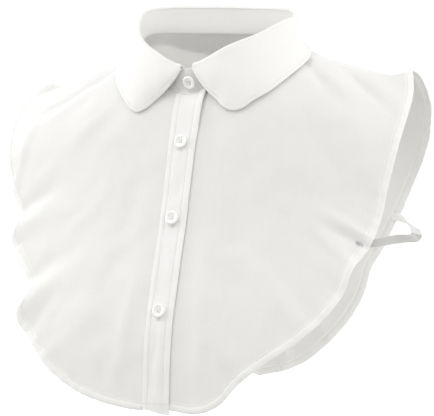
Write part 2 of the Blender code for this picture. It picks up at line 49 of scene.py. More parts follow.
# %% [markdown]
# ## Camera
# The photograph looks level at the bib from a little to the wearer's left, from so far away
# that the near and far shoulder are almost the same size. The lens follows from the width
# of the picture: so many pixels wide at so many pixels of focal length on a 36 mm sensor.

# %% Place the camera
PHOTO_WIDTH = 434
FOCAL_LENGTH_PIXELS = 1560
SENSOR_WIDTH = 36.0
CAMERA_AZIMUTH = np.radians(25)
CAMERA_DISTANCE = 1300
CAMERA_HEIGHT = -123

camera_data = bpy.data.cameras.new("camera")
camera_data.sensor_width = SENSOR_WIDTH
camera_data.lens = SENSOR_WIDTH * FOCAL_LENGTH_PIXELS / PHOTO_WIDTH
camera = bpy.data.objects.new("camera", camera_data)
camera.location = (
    CAMERA_DISTANCE * np.sin(CAMERA_AZIMUTH) * MM,
    -CAMERA_DISTANCE * np.cos(CAMERA_AZIMUTH) * MM,
    CAMERA_HEIGHT * MM,
)
camera.rotation_euler = (np.pi / 2, 0, CAMERA_AZIMUTH)
bpy.context.scene.collection.objects.link(camera)
bpy.context.scene.camera = camera
print("lens", round(camera_data.lens, 1), "mm")

# %% [markdown]
# ## Colours and nodes
# Colours are written as the hex values a screen shows, so they need one step to become the
# linear light that Blender mixes. One small function adds a shader node with its settings
# and its links, so that each material reads as a list of what it is made of.

# %% Helpers for materials


def linear(hex_colour):
    """Linear RGBA of an sRGB hex value: (c + 0.055) / 1.055 to the power 2.4, or c / 12.92 when dark."""
    channels = np.array([int(hex_colour[place:place + 2], 16) for place in (1, 3, 5)]) / 255
    bright = ((channels + 0.055) / 1.055) ** 2.4
    return (*np.where(channels <= 0.04045, channels / 12.92, bright).tolist(), 1.0)


def add(tree, kind, settings=None, **inputs):
    """Add one node. Settings are its own properties; inputs are sockets by name, with
    underscores for spaces, and hold a value or another node's output to link."""
    node = tree.nodes.new(kind)
    for key, value in (settings or {}).items():
        setattr(node, key, value)
    for key, value in inputs.items():
        name = key.replace("_", " ")
        socket = node.inputs[int(name[1:])] if name[0] == "i" and name[1:].isdigit() else node.inputs[name]
        if isinstance(value, bpy.types.NodeSocket):
            tree.links.new(value, socket)
        else:
            socket.default_value = value
    return node


def start_material(name, **shader_values):
    """A new material with its Principled shader, whose constant values are set on its own sockets."""
    made = bpy.data.materials.new(name)
    made.use_nodes = True
    shader = made.node_tree.nodes["Principled BSDF"]
    for key, value in shader_values.items():
        shader.inputs[key.replace("_", " ")].default_value = value
    return made, made.node_tree, shader


# %% [markdown]
# ## Cotton poplin
# Poplin is a close plain weave: fine threads go over and under one another, 4 to the
# millimetre. Bleached white it is matt, with a faint bloom at grazing angles from the loose
# fibres, so it gets a little sheen. The weave is two crossed waves on the piece's own
# flat map, which holds millimetres along and across the grain, so it follows every curve. It
# is drawn twice as coarse as real, or it would vanish. Slubs, which are thicker
# stretches of thread, are long thin clouds along each direction, and they show as the
# faintest streaks. Where a hem is folded, three cloths let less light through and look whiter,
# so the mesh says there how folded it is. The turned band is painted whiter there: partly the
# whiter look of three cloths, partly a painted highlight for the bright, lit hems.

# %% Poplin for the bibs and for the collar
THREADS_PER_MM = 2.0
SLUB_LENGTH = 26.0
SLUB_WIDTH = 1.1
FOLDED_WHITE_AND_PAINTED_LIGHT = "#EEEDEB"


def poplin(name, light, shade, weave_height, roughness, see_through):
    """Plain weave: bump height is the sum of a wave across u and a wave across v, and the
    colour runs from shade to light with the slubs in both thread directions."""
    made, tree, shader = start_material(
        name, Roughness=roughness, Sheen_Weight=0.1, Sheen_Roughness=0.5,
        Specular_IOR_Level=0.22, IOR=1.47, Subsurface_Weight=see_through, Subsurface_Scale=2.5 * MM,
    )
    shader.inputs["Subsurface Radius"].default_value = (1.0, 0.98, 0.94)
    place = add(tree, "ShaderNodeUVMap", {"uv_map": "cloth"})
    to_mm = add(tree, "ShaderNodeMapping", None, Vector=place.outputs[0], Scale=(1 / MM, 1 / MM, 1))
    waves = [
        add(tree, "ShaderNodeTexWave", {"bands_direction": direction},
            Vector=to_mm.outputs[0], Scale=THREADS_PER_MM / 20 * np.pi, Distortion=0.6, Detail=1.0)
        for direction in ("X", "Y")
    ]
    weave = add(tree, "ShaderNodeMath", {"operation": "ADD"},
                i0=waves[0].outputs["Fac"], i1=waves[1].outputs["Fac"])
    slubs = []
    for along, across in ((1 / SLUB_LENGTH, 1 / SLUB_WIDTH), (1 / SLUB_WIDTH, 1 / SLUB_LENGTH)):
        stretched = add(tree, "ShaderNodeMapping", None, Vector=to_mm.outputs[0], Scale=(along, across, 1))
        slubs.append(add(tree, "ShaderNodeTexNoise", None, Vector=stretched.outputs[0], Scale=1.0, Detail=2.0))
    both = add(tree, "ShaderNodeMath", {"operation": "ADD"},
               i0=slubs[0].outputs["Fac"], i1=slubs[1].outputs["Fac"])
    part = add(tree, "ShaderNodeMapRange", None,
               Value=both.outputs[0], From_Min=0.75, From_Max=1.25)
    colour = add(tree, "ShaderNodeMix", {"data_type": "RGBA"}, Factor=part.outputs[0])
    colour.inputs[6].default_value = linear(shade)
    colour.inputs[7].default_value = linear(light)
    # Painted light: the turned hem band is coloured whiter, partly for its three cloths and partly as a painted
    # highlight.
    layers = add(tree, "ShaderNodeAttribute", {"attribute_name": "layers"})
    folded = add(tree, "ShaderNodeMix", {"data_type": "RGBA"}, Factor=layers.outputs["Fac"])
    tree.links.new(colour.outputs[2], folded.inputs[6])
    folded.inputs[7].default_value = linear(FOLDED_WHITE_AND_PAINTED_LIGHT)
    tree.links.new(folded.outputs[2], shader.inputs["Base Color"])
    height = add(tree, "ShaderNodeMath", {"operation": "MULTIPLY_ADD"},
                 i0=both.outputs[0], i1=0.25, i2=weave.outputs[0])
    bump = add(tree, "ShaderNodeBump", None, Height=height.outputs[0],
               Strength=weave_height, Distance=0.08 * MM)
    tree.links.new(bump.outputs[0], shader.inputs["Normal"])
    return made


BIB_POPLIN = poplin("bleached_cotton_poplin", "#E6E5E3", "#E4E3E1", 0.3, 0.78, 0.55)
BAND_POPLIN = poplin("folded_cotton_poplin", "#F5F4F2", "#F3F2F0", 0.3, 0.75, 0.35)
# The stand's cloth is painted darker than the collar's: painted shade for the shade under the leaf.
STAND_POPLIN_PAINTED_SHADE = poplin("doubled_cotton_poplin_painted_shade", "#ECEBE9", "#EAE9E7", 0.28, 0.75, 0.25)
COLLAR_POPLIN = poplin("fused_cotton_poplin", "#F0EFED", "#EEEDEB", 0.25, 0.70, 0.25)
print("cloth:", BIB_POPLIN.name, BAND_POPLIN.name, STAND_POPLIN_PAINTED_SHADE.name, COLLAR_POPLIN.name)

# %% [markdown]
# ## Thread, resin and elastic
# Sewing thread is spun polyester, twisted, a little glossier than the cloth. The buttons are
# turned polyester resin with a pearly cloud in it under a polished skin. The elastic is a
# narrow woven band whose rubber cores show as ribs along it, with the weft crossing them. Its
# front part is painted grey, a painted shade for the side of it that faces away from the light,
# and past the bunch it is white.

# %% Thread, resin and elastic
THREAD, thread_tree, thread_shader = start_material(
    "spun_polyester_thread", Roughness=0.55, Base_Color=linear("#F2F1EE"), Sheen_Weight=0.2)
thread_place = add(thread_tree, "ShaderNodeTexCoord")
thread_twist = add(thread_tree, "ShaderNodeTexWave", {"bands_direction": "DIAGONAL"},
                   Vector=thread_place.outputs["Object"], Scale=400.0)
thread_bump = add(thread_tree, "ShaderNodeBump", None, Height=thread_twist.outputs["Fac"],
                  Strength=0.3, Distance=0.05 * MM)
thread_tree.links.new(thread_bump.outputs[0], thread_shader.inputs["Normal"])

RESIN, resin_tree, resin_shader = start_material(
    "polished_pearl_resin", Roughness=0.22, IOR=1.55, Coat_Weight=0.5, Coat_Roughness=0.12,
    Subsurface_Weight=0.15, Subsurface_Scale=0.8 * MM)
resin_shader.inputs["Subsurface Radius"].default_value = (1.0, 1.0, 0.97)
resin_place = add(resin_tree, "ShaderNodeTexCoord")
resin_cloud = add(resin_tree, "ShaderNodeTexNoise", None, Vector=resin_place.outputs["Object"],
                  Scale=260.0, Detail=3.0, Distortion=1.4)
resin_colour = add(resin_tree, "ShaderNodeMix", {"data_type": "RGBA"}, Factor=resin_cloud.outputs["Fac"])
resin_colour.inputs[6].default_value = linear("#F3F3F3")
resin_colour.inputs[7].default_value = linear("#FEFEFB")
resin_tree.links.new(resin_colour.outputs[2], resin_shader.inputs["Base Color"])

ELASTIC, elastic_tree, elastic_shader = start_material(
    "woven_elastic", Roughness=0.72, Sheen_Weight=0.1, Subsurface_Weight=0.5, Subsurface_Scale=1.5 * MM)
elastic_shader.inputs["Subsurface Radius"].default_value = (1.0, 0.98, 0.95)
ELASTIC_RIBS = 9
elastic_place = add(elastic_tree, "ShaderNodeUVMap", {"uv_map": "cloth"})
elastic_weft = add(elastic_tree, "ShaderNodeMapping", None, Vector=elastic_place.outputs[0],
                   Scale=(1 / MM, 1 / MM, 1))
elastic_wave = add(elastic_tree, "ShaderNodeTexWave", {"bands_direction": "X"},
                   Vector=elastic_weft.outputs[0], Scale=0.35, Distortion=1.0)
# Painted shade: the ribbed front part is grey for the face turned away from the light, and past the bunch it turns
# white.
elastic_ribs_painted_shade = add(elastic_tree, "ShaderNodeMix", {"data_type": "RGBA"}, Factor=elastic_wave.outputs["Fac"])
elastic_ribs_painted_shade.inputs[6].default_value = linear("#B9B8B7")
elastic_ribs_painted_shade.inputs[7].default_value = linear("#C9C8C6")
elastic_along = add(elastic_tree, "ShaderNodeSeparateXYZ", None, Vector=elastic_weft.outputs[0])
elastic_shade_fade = add(elastic_tree, "ShaderNodeMapRange", {"interpolation_type": "SMOOTHSTEP"},
                    Value=elastic_along.outputs["X"], From_Min=3.0, From_Max=10.0)
elastic_shade_or_white = add(elastic_tree, "ShaderNodeMix", {"data_type": "RGBA"}, Factor=elastic_shade_fade.outputs[0])
elastic_tree.links.new(elastic_ribs_painted_shade.outputs[2], elastic_shade_or_white.inputs[6])
elastic_shade_or_white.inputs[7].default_value = linear("#FCFBFA")
elastic_tree.links.new(elastic_shade_or_white.outputs[2], elastic_shader.inputs["Base Color"])
elastic_bump = add(elastic_tree, "ShaderNodeBump", None, Height=elastic_wave.outputs["Fac"],
                   Strength=0.6, Distance=0.15 * MM)
elastic_tree.links.new(elastic_bump.outputs[0], elastic_shader.inputs["Normal"])
print("trims:", THREAD.name, RESIN.name, ELASTIC.name)

# %% [markdown]
# ## The form of the worn cloth
# A panel is drawn flat, as a place (across, drop): across is the distance from the centre
# line and drop the distance down the cloth from the shoulder line. The tables below say how
# steeply the cloth falls as it goes down, at the centre and at the side. Summing the slopes
# millimetre by millimetre gives the profile, and a place between centre and side mixes the two.

# %% Tables of the form
NECK_HALF_WIDTH = 64.0
NECK_FRONT_DROP = 67.0
NECK_BACK_DROP = 61.0
SHOULDER_TIP = 166.0
SHOULDER_HEIGHT = 7.0
SHOULDER_FALL = 21.5
SHOULDER_SWING = 10.0
SHOULDER_SETBACK = -1.5
NECK_FRONT_DEPTH = 55.0
NECK_BACK_DEPTH = 58.0
FORM = np.array((
    # drop, front centre, front side, back centre, back side
    (0, 4, 4, -4, -4),
    (15, 20, 36, 1, 27),
    (30, 36, 44, 6, 44),
    (45, 46, 49, 16, 55),
    (65, 61, 56, 39, 65),
    (85, 72, 71, 59, 73),
    (105, 75, 80, 69, 78),
    (130, 76, 81, 77, 81),
    (160, 75.5, 70, 83, 85),
    (200, 72, 68, 88.5, 87),
    (240, 74, 76, 92, 88),
    (280, 84, 84, 95, 88),
    (340, 89, 88, 95, 90),
))
SHOULDER_DIP = np.array((
    # across, height
    (0, 0), (64, 0), (85, -4), (110, -6), (142, -8), (152, -6.5), (160, -3), (170, 3), (185, 9),
))
SHOULDER_DIP_FADE = 40.0
NECK_CLIMB = np.array((
    # degrees from the front, height
    (-30, 8), (0, 0), (30, 8), (60, 11), (90, 14.5), (135, 25.5), (180, 32), (225, 25.5),
))
NECK_CLIMB_FADE = 2.7
NECK_TILT = np.array((
    # degrees from the front, height
    (0, 0), (30, 0), (60, 4), (90, 7), (135, 5), (180, 5),
))
LARGE_FOLDS = {
    "front": np.array((
        # across, drop, degrees the crest points down from level, half width, half length, height
        (-170, 160, 12, 13, 50, 5),
        (-160, 146, 16, 9, 40, -3),
        (-150, 238, 26, 12, 45, 5),
        (-140, 212, 22, 11, 45, -4),
        (170, 205, 20, 12, 40, 3),
        (168, 222, 24, 10, 36, -3),
        (95, 130, 62, 26, 60, 2),
    )),
    "back": np.array((
        (120, 205, 24, 13, 45, 4),
        (-122, 200, 22, 13, 45, 4),
        (60, 300, 60, 11, 40, 3),
        (-56, 304, 64, 11, 40, 3),
        (20, 320, 82, 10, 45, 3),
        (-18, 318, 98, 10, 45, 3),
    )),
}
print("form:", len(FORM), "slopes a profile")

# %% [markdown]
# ## Curves through tables
# A cubic between two rows of a table whose slopes are the weighted mean of their
# neighbours' passes through every row without overshooting much. It serves the profiles, the
# cut edges and the route of the elastic.

# %% Smooth curves and the profiles


def smooth(table, at, column=1):
    """Cubic Hermite curve through a column of a table, straight beyond its ends."""
    table = np.asarray(table, float)
    knots = table[:, 0]
    values = table[:, column]
    slopes = np.diff(values) / np.diff(knots)
    gaps = np.diff(knots)
    tangents = np.concatenate((
        slopes[:1],
        (slopes[:-1] * gaps[1:] + slopes[1:] * gaps[:-1]) / (gaps[1:] + gaps[:-1]),
        slopes[-1:],
    ))
    at = np.asarray(at, float)
    inside = np.clip(at, knots[0], knots[-1])
    row = np.clip(np.searchsorted(knots, inside, side="right") - 1, 0, len(knots) - 2)
    gap = knots[row + 1] - knots[row]
    part = (inside - knots[row]) / gap
    start = values[row] * (2 * part ** 3 - 3 * part ** 2 + 1)
    end = values[row + 1] * (3 * part ** 2 - 2 * part ** 3)
    leave = tangents[row] * gap * (part ** 3 - 2 * part ** 2 + part)
    arrive = tangents[row + 1] * gap * (part ** 3 - part ** 2)
    beyond = np.where(at < inside, tangents[0], tangents[-1]) * (at - inside)
    return start + end + leave + arrive + beyond


def fade(value, low, high):
    """Smooth step: 3 p^2 - 2 p^3 of the share p of the way from low to high."""
    part = np.clip((np.asarray(value, float) - low) / (high - low), 0, 1)
    return part * part * (3 - 2 * part)


def summed_form():
    """Reach and fall of each profile: the running sums of cosine and sine of its slope."""
    drops = np.arange(0.0, 420.0)
    sums = {}
    for column, name in enumerate(("front centre", "front side", "back centre", "back side"), start=1):
        slope = np.radians(smooth(FORM, drops + 0.5, column))
        reach = np.concatenate(((0,), np.cumsum(np.cos(slope))))[:-1]
        fall = np.concatenate(((0,), np.cumsum(np.sin(slope))))[:-1]
        sums[name] = (drops, reach, fall, slope[0])
    return sums


SUMS = summed_form()


def profile(name, drop):
    """Reach and fall of a profile at a drop, straight above the shoulder line."""
    drops, reach, fall, slope = SUMS[name]
    above = np.minimum(drop, 0)
    return (
        np.interp(drop, drops, reach) + above * np.cos(slope),
        np.interp(drop, drops, fall) + above * np.sin(slope),
    )


def bells(table, across, drop):
    """Sum of soft folds: each is its height times exp(-(aside / half width)^2 - (along / half
    length)^2), where aside and along are measured square to its crest and along it."""
    height = np.zeros(np.broadcast(across, drop).shape)
    for place, down, turn, half_width, half_length, rise in table:
        turn = np.radians(turn)
        outwards = np.sign(place)
        along = (across - place) * outwards * np.cos(turn) + (drop - down) * np.sin(turn)
        aside = -(across - place) * outwards * np.sin(turn) + (drop - down) * np.cos(turn)
        height += rise * np.exp(-(aside / half_width) ** 2 - (along / half_length) ** 2)
    return height


def body_point(side, across, drop):
    """Outer face of the worn cloth: the centre and side profiles mixed by the square of the
    distance across, with the shoulder's dip and the climb up the neck added."""
    across, drop = np.broadcast_arrays(np.asarray(across, float), np.asarray(drop, float))
    facing = -1 if side == "front" else 1
    mix = (across / SHOULDER_TIP) ** 2
    centre_reach, centre_fall = profile(side + " centre", drop)
    side_reach, side_fall = profile(side + " side", drop)
    reach = centre_reach + mix * (side_reach - centre_reach)
    fall = centre_fall + mix * (side_fall - centre_fall)
    back = SHOULDER_SETBACK + SHOULDER_SWING * mix + facing * reach
    dip = smooth(SHOULDER_DIP, np.abs(across)) * np.exp(-np.abs(drop) / SHOULDER_DIP_FADE)
    neck_depth = np.where(back < 0, NECK_FRONT_DEPTH, NECK_BACK_DEPTH)
    angle = np.degrees(np.arctan2(np.abs(across) / NECK_HALF_WIDTH, -back / neck_depth))
    distance = np.hypot(across / NECK_HALF_WIDTH, back / neck_depth)
    lean = across / NECK_HALF_WIDTH / np.maximum(distance, 0.5)
    climb = smooth(NECK_CLIMB, angle) - smooth(NECK_TILT, angle) * lean
    climb = climb * np.exp(-np.maximum(distance - 1, 0) * NECK_CLIMB_FADE)
    up = SHOULDER_HEIGHT - SHOULDER_FALL * mix + dip - fall + climb
    return np.stack((across, back, up), -1)


def body_normal(side, across, drop):
    """Outward direction of the cloth: the cross product of its slopes down and across."""
    reach = 1.5
    across = np.asarray(across, float)
    drop = np.asarray(drop, float)
    sideways = body_point(side, across + reach, drop) - body_point(side, across - reach, drop)
    downwards = body_point(side, across, drop + reach) - body_point(side, across, drop - reach)
    normal = np.cross(downwards, sideways)
    normal *= 1 if side == "front" else -1
    return normal / np.linalg.norm(normal, axis=-1, keepdims=True)


print("shoulder tip at", np.round(body_point("front", SHOULDER_TIP, 0.0), 1), "mm")

# %% [markdown]
# ## Creases
# Pressed cotton that has been worn for a picture keeps long soft creases: they run from the
# collar to the shoulder tips, fan out from the strap, and follow the button band. Each is one
# row of a table, set from what the light shows, and uneven on purpose. The back, which
# no picture shows, gets similar ones. Between the creases no cloth is ever quite smooth, so a
# low rumple of a few tenths of a millimetre runs over all of it and dies out at the seams.

# %% Tables of creases
CREASE_DEPTH = 1.4
CREASES = {
    "front": np.array((
        # across, drop, degrees the crest points down from level, half width, half length, height
        (-106, 41, 19, 5, 36, -1.9),
        (-118, 25, 15, 6, 32, 1.2),
        (-116, 58, 22, 8, 34, 1.0),
        (-159, 12, 48, 4, 14, -1.5),
        (-150, 60, 72, 8, 40, 1.0),
        (-92, 88, 34, 10, 34, 0.8),
        (-40, 170, 82, 10, 70, -0.5),
        (-62, 120, 70, 13, 44, 0.4),
        (-30, 262, 84, 7, 46, 0.8),
        (-84, 262, 40, 10, 40, 0.8),
        (-118, 250, 58, 7, 30, -1.0),
        (-160, 108, 80, 5, 30, 0.7),
        (98, 34, 50, 5, 20, -1.1),
        (118, 40, 40, 6, 24, 1.1),
        (135, 33, 40, 5, 24, -1.9),
        (152, 32, 44, 7, 24, 1.2),
        (140, 78, 68, 12, 36, 1.3),
        (112, 96, 54, 10, 40, -0.9),
        (142, 166, 12, 4, 17, -1.6),
        (146, 158, 16, 4, 18, 1.3),
        (138, 180, 30, 5, 24, 1.0),
        (60, 196, 78, 12, 60, -0.9),
        (34, 250, 86, 8, 60, 0.7),
        (92, 226, 46, 12, 44, 0.9),
        (110, 224, 40, 8, 36, -0.7),
        (70, 284, 32, 8, 34, 0.8),
        (26, 108, 76, 6, 26, -0.6),
    )),
    "back": np.array((
        (96, 30, 28, 8, 30, 0.9),
        (-102, 34, 30, 7, 28, 0.9),
        (112, 44, 36, 7, 30, -0.8),
        (-118, 50, 32, 7, 26, -0.8),
        (52, 130, 74, 12, 52, 1.0),
        (-46, 122, 80, 12, 50, 0.9),
        (8, 186, 88, 10, 70, -1.0),
        (74, 210, 62, 10, 46, 0.9),
        (-80, 216, 58, 10, 44, 1.0),
        (110, 152, 30, 6, 30, 1.1),
        (-112, 156, 28, 6, 30, 1.1),
        (104, 164, 24, 5, 24, -1.3),
        (-106, 168, 22, 5, 24, -1.3),
        (26, 290, 76, 7, 36, -1.0),
        (-30, 286, 72, 7, 36, -0.9),
        (20, 76, 60, 8, 28, 0.6),
        (-24, 80, 64, 8, 26, 0.6),
    )),
}


RUMPLE = (
    # length of the wave, degrees from level, start, height
    (23, 35, 0.4, 0.15),
    (31, 118, 2.2, 0.22),
    (43, 68, 4.1, 0.26),
    (57, 152, 1.1, 0.3),
    (17, 95, 5.3, 0.06),
)
RUMPLE_FADE = (4, 24)


def rumple(side, across, drop):
    """Low uneven waves: each is a sine along its own direction whose crest wanders with a
    slower sine, and patches of them are stronger. They fade out towards the shoulder."""
    start = 0.0 if side == "front" else 2.6
    height = np.zeros(np.broadcast(across, drop).shape)
    for length, turn, phase, rise in RUMPLE:
        turn = np.radians(turn)
        along = across * np.cos(turn) + drop * np.sin(turn)
        beside = drop * np.cos(turn) - across * np.sin(turn)
        wander = 1.4 * np.sin(2 * np.pi * beside / (2.7 * length) + phase + start)
        height += rise * np.sin(2 * np.pi * along / length + phase + start + wander)
    patch = 0.65 + 0.35 * np.sin(2 * np.pi * across / 97 + 1 + start) * np.sin(2 * np.pi * drop / 83 + 2)
    return height * patch * fade(drop, *RUMPLE_FADE)


def on_body(side, across, drop, out):
    """The place moved out from the cloth's outer face by out and by its folds, creases and rumple."""
    creases = CREASE_DEPTH * bells(CREASES[side], across, drop) + rumple(side, across, drop)
    lift = bells(LARGE_FOLDS[side], across, drop) + creases + out
    return body_point(side, across, drop) + body_normal(side, across, drop) * lift[..., None]


def on_solid(side, across, drop, out):
    """The same without the creases, for places that the solids use too."""
    lift = bells(LARGE_FOLDS[side], across, drop) + out
    return body_point(side, across, drop) + body_normal(side, across, drop) * lift[..., None]


print("creases:", {side: len(rows) for side, rows in CREASES.items()})

# %% [markdown]
# ## One cloth wall
# Every cloth piece here is one closed skin: its outer face, a rounded rim, its inner face and
# two ends. It is computed as a grid whose rows run over the outer face, round the rim by half
# a circle, and back over the inner face, so the last row meets the first. The flat
# place of each point is stored as its UV, in metres, for the weave.

# %% Make a cloth wall
RIM_ROWS = 5


def make_mesh(name, corners, faces, material, uv=None, layers=None, smooth_angle=60):
    """Closed mesh in metres. Its faces are turned outwards by the sign of its volume, and its
    flat map is read for each face corner from its vertex."""
    corners = np.asarray(corners, float).reshape(-1, 3) * MM
    faces = np.asarray(faces, int)
    first, second, third, fourth = (corners[faces[:, place]] for place in range(4))
    volume = np.sum(first * np.cross(second, third)) + np.sum(first * np.cross(third, fourth))
    if volume < 0:
        faces = faces[:, ::-1]
    mesh = bpy.data.meshes.new(name)
    mesh.vertices.add(len(corners))
    mesh.vertices.foreach_set("co", corners.ravel())
    mesh.loops.add(faces.size)
    mesh.loops.foreach_set("vertex_index", faces.ravel())
    mesh.polygons.add(len(faces))
    mesh.polygons.foreach_set("loop_start", np.arange(0, faces.size, 4))
    mesh.update(calc_edges=True)
    mesh.validate()
    if uv is not None:
        layer = mesh.uv_layers.new(name="cloth")
        index = np.empty(len(mesh.loops), int)
        mesh.loops.foreach_get("vertex_index", index)
        layer.data.foreach_set("uv", (np.asarray(uv, float).reshape(-1, 2)[index] * MM).ravel())
    if layers is not None:
        mesh.attributes.new("layers", "FLOAT", "POINT").data.foreach_set("value", layers.ravel())
    mesh.materials.append(material)
    mesh.shade_smooth()
    mesh.set_sharp_from_angle(angle=np.radians(smooth_angle))
    made = bpy.data.objects.new(name, mesh)
    bpy.context.scene.collection.objects.link(made)
    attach(made, "root")
    return made


def wall(name, outer, inner, flat, rim_out, material, folded=None):
    """Closed skin of a cloth piece. outer and inner are grids of points, flat their places on
    the flat, rim_out the direction out of the cut edge at the last row, and folded how folded
    the cloth is at each row, from 0 to 1."""
    half = (outer[-1] - inner[-1]) / 2
    middle = (outer[-1] + inner[-1]) / 2
    turn = np.linspace(0, np.pi, RIM_ROWS + 2)[1:-1, None, None]
    bulge = np.linalg.norm(half, axis=-1, keepdims=True) * rim_out
    rim = middle + half * np.cos(turn) + bulge * np.sin(turn)
    loop = np.concatenate((outer, rim, inner[::-1]))
    flat_loop = np.concatenate((flat, np.repeat(flat[-1:], RIM_ROWS, axis=0), flat[::-1]))
    rows, columns = loop.shape[:2]
    index = np.arange(rows * columns).reshape(rows, columns)
    after = np.roll(index, -1, axis=0)
    skin = np.stack((index[:, :-1], index[:, 1:], after[:, 1:], after[:, :-1]), -1).reshape(-1, 4)
    across = np.arange(rows // 2)
    ends = []
    for column, turned in ((0, 1), (columns - 1, -1)):
        strip = np.stack((
            index[across, column], index[across + 1, column],
            index[rows - 2 - across, column], index[rows - 1 - across, column],
        ), -1)
        strip = strip[(strip[:, 1] != strip[:, 2]) & (strip[:, 1] < strip[:, 2])]
        ends.append(strip[:, ::turned])
    faces = np.concatenate((skin, *ends))
    if folded is not None:
        folded = np.concatenate((folded, np.repeat(folded[-1:], RIM_ROWS), folded[::-1]))
        folded = np.repeat(folded[:, None], columns, axis=1)
    return make_mesh(name, loop, faces, material, flat_loop, folded)


def grid_area(points):
    """Area of a grid in square metres: half the length of the cross product of the diagonals."""
    one = points[1:, 1:] - points[:-1, :-1]
    other = points[1:, :-1] - points[:-1, 1:]
    return float(np.linalg.norm(np.cross(one, other), axis=-1).sum() / 2 * MM * MM)


def arc_length(points):
    """Running length along the last row of points."""
    return np.concatenate(((0,), np.cumsum(np.linalg.norm(np.diff(points, axis=0), axis=1))))


def unit(vectors):
    """Vectors scaled to length one."""
    return vectors / np.maximum(np.linalg.norm(vectors, axis=-1, keepdims=True), 1e-9)


# %% [markdown]
# ## Bibs
# The outline of a bib runs from the centre of its hem round the side and up the armhole to
# the shoulder tip. The edge is turned under twice and stitched: a band 6 mm wide that
# is three cloths thick, puffed between the fold and the stitches, with a groove where
# the thread pulls it in. Round a curve the turned cloth has too much length, so it puckers in
# short uneven waves.

# %% Tables of the cut edges
PLACKET_HALF_WIDTH = 11.0
UNDERLAP = 10.0
CLOTH = 0.6
HEM_WIDTH = 6.0
HEM_STITCH = 4.9
HEM_BULK = 0.35
SOLID_COLUMNS = {"front": 44, "back": 29}
EDGES = {
    "front_left": np.array((
        # across, drop
        (-UNDERLAP, 322), (13, 322), (31, 323), (45, 319), (55, 312), (66, 298), (85, 280), (112, 256),
        (131, 233), (143, 210), (149, 188), (158, 168), (163, 149), (168, 117), (172, 95), (176, 61),
        (176, 35), (171, 14), (166, 0),
    )),
    "front_right": np.array((
        (PLACKET_HALF_WIDTH, 323), (22, 322), (38, 319), (55, 314), (71, 307), (86, 297), (99, 286),
        (109, 274), (124, 254), (133, 241), (133, 230), (130, 215), (136, 201), (149, 180), (156, 164),
        (154, 150), (156, 138), (165, 119), (172, 102), (178, 76), (181, 54), (178, 34), (170, 16), (166, 0),
    )),
    "back": np.array((
        (0, 347), (23, 339), (44, 325), (58, 309), (83, 275), (94, 253), (99, 239), (103, 224),
        (110, 207), (122, 183), (135, 155), (148, 123), (160, 93), (168, 64), (171, 45), (170, 28), (166, 0),
    )),
}
BODY_ROWS = 64
HEM_ROWS = np.array((
    10.4, 9, 7.9, 7.1, 6.5, 6.1, 5.8, 5.4, HEM_STITCH, 4.4, 4.0, 3.3, 2.5, 1.7, 1.0, 0.5, 0.2, 0.0,
))
STITCH_ROW = BODY_ROWS + int(np.flatnonzero(HEM_ROWS == HEM_STITCH)[0])


def cut_edge(table, count):
    """Evenly spaced places along the smooth cut edge and the direction into the cloth."""
    table = np.asarray(table, float)
    chord = np.concatenate(((0,), np.cumsum(np.hypot(*np.diff(table, axis=0).T))))
    fine = np.linspace(0, chord[-1], 1500)
    rows = np.column_stack((chord, table))
    edge = np.column_stack((smooth(rows, fine, 1), smooth(rows, fine, 2)))
    length = np.concatenate(((0,), np.cumsum(np.hypot(*np.diff(edge, axis=0).T))))
    even = np.linspace(0, length[-1], count)
    points = np.column_stack((np.interp(even, length, edge[:, 0]), np.interp(even, length, edge[:, 1])))
    run = np.gradient(points, axis=0)
    inward = unit(np.column_stack((run[:, 1], -run[:, 0])))
    inward[0] = (0, -1)
    inward[-1] = (-1, 0)
    points[-1, 1] = 0
    return points, inward


def bib_places(name, first_across, columns):
    """Places of a half bib: rows spread from the neck seam to the hem zone and then follow
    the edge. The zone is read from the coarser grid that the solid has, so both have one form."""
    side = name.split("_")[0]
    depth = NECK_FRONT_DROP if side == "front" else NECK_BACK_DROP
    first = np.arcsin(first_across / NECK_HALF_WIDTH)
    turn = np.linspace(first, np.pi / 2, columns)
    neck = np.column_stack((NECK_HALF_WIDTH * np.sin(turn), depth * np.cos(turn)))
    neck[-1, 1] = 0
    edge, _ = cut_edge(EDGES[name], columns)
    coarse = SOLID_COLUMNS[side]
    _, inward = cut_edge(EDGES[name], coarse)
    share = np.linspace(0, 1, columns)
    inward = unit(np.column_stack([
        np.interp(share, np.linspace(0, 1, coarse), inward[:, place]) for place in (0, 1)]))
    zone = edge + inward * HEM_WIDTH * 2
    spread = (np.linspace(0, 1, BODY_ROWS) ** 0.9)[:, None, None]
    body = neck + spread * (zone - neck)
    hem = edge + inward * HEM_ROWS[:, None, None]
    return np.concatenate((body, hem))


def to_edge(rows):
    """Distance of each row from the cut edge, 12 mm or more in the body of the bib."""
    return np.concatenate((np.full(BODY_ROWS, 2 * HEM_WIDTH), HEM_ROWS))[:rows, None]


def puckers(around, seed, size):
    """Uneven waves along a hem: three waves whose lengths share no factor, each waxing and
    waning with its own longer wave."""
    waves = np.zeros(around.shape)
    for length, part, swell in ((5.3, 0.5, 61.0), (8.7, 0.8, 83.0), (14.1, 1.0, 127.0)):
        strength = 0.55 + 0.45 * np.sin(2 * np.pi * around / swell + seed * 1.7)
        waves += part * strength * np.sin(2 * np.pi * around / length + seed + length)
    return size * waves


def hem_relief(distance, around, seed, size):
    """How far the outer face stands out by the hem: a step where the turned strip ends, a
    puffed band, a groove at the stitches and puckers that fade into the cloth."""
    band = fade(distance, HEM_WIDTH + 0.5, HEM_WIDTH - 0.4)
    puff = 0.35 * np.sin(np.pi * np.clip(distance / HEM_STITCH, 0, 1)) ** 0.7
    groove = 0.36 * np.exp(-((distance - HEM_STITCH) / 0.6) ** 2)
    ripple = puckers(around, seed, size) * np.exp(-(distance / 7.5) ** 2)
    return 0.2 * band + puff * (distance < HEM_STITCH) - groove + ripple


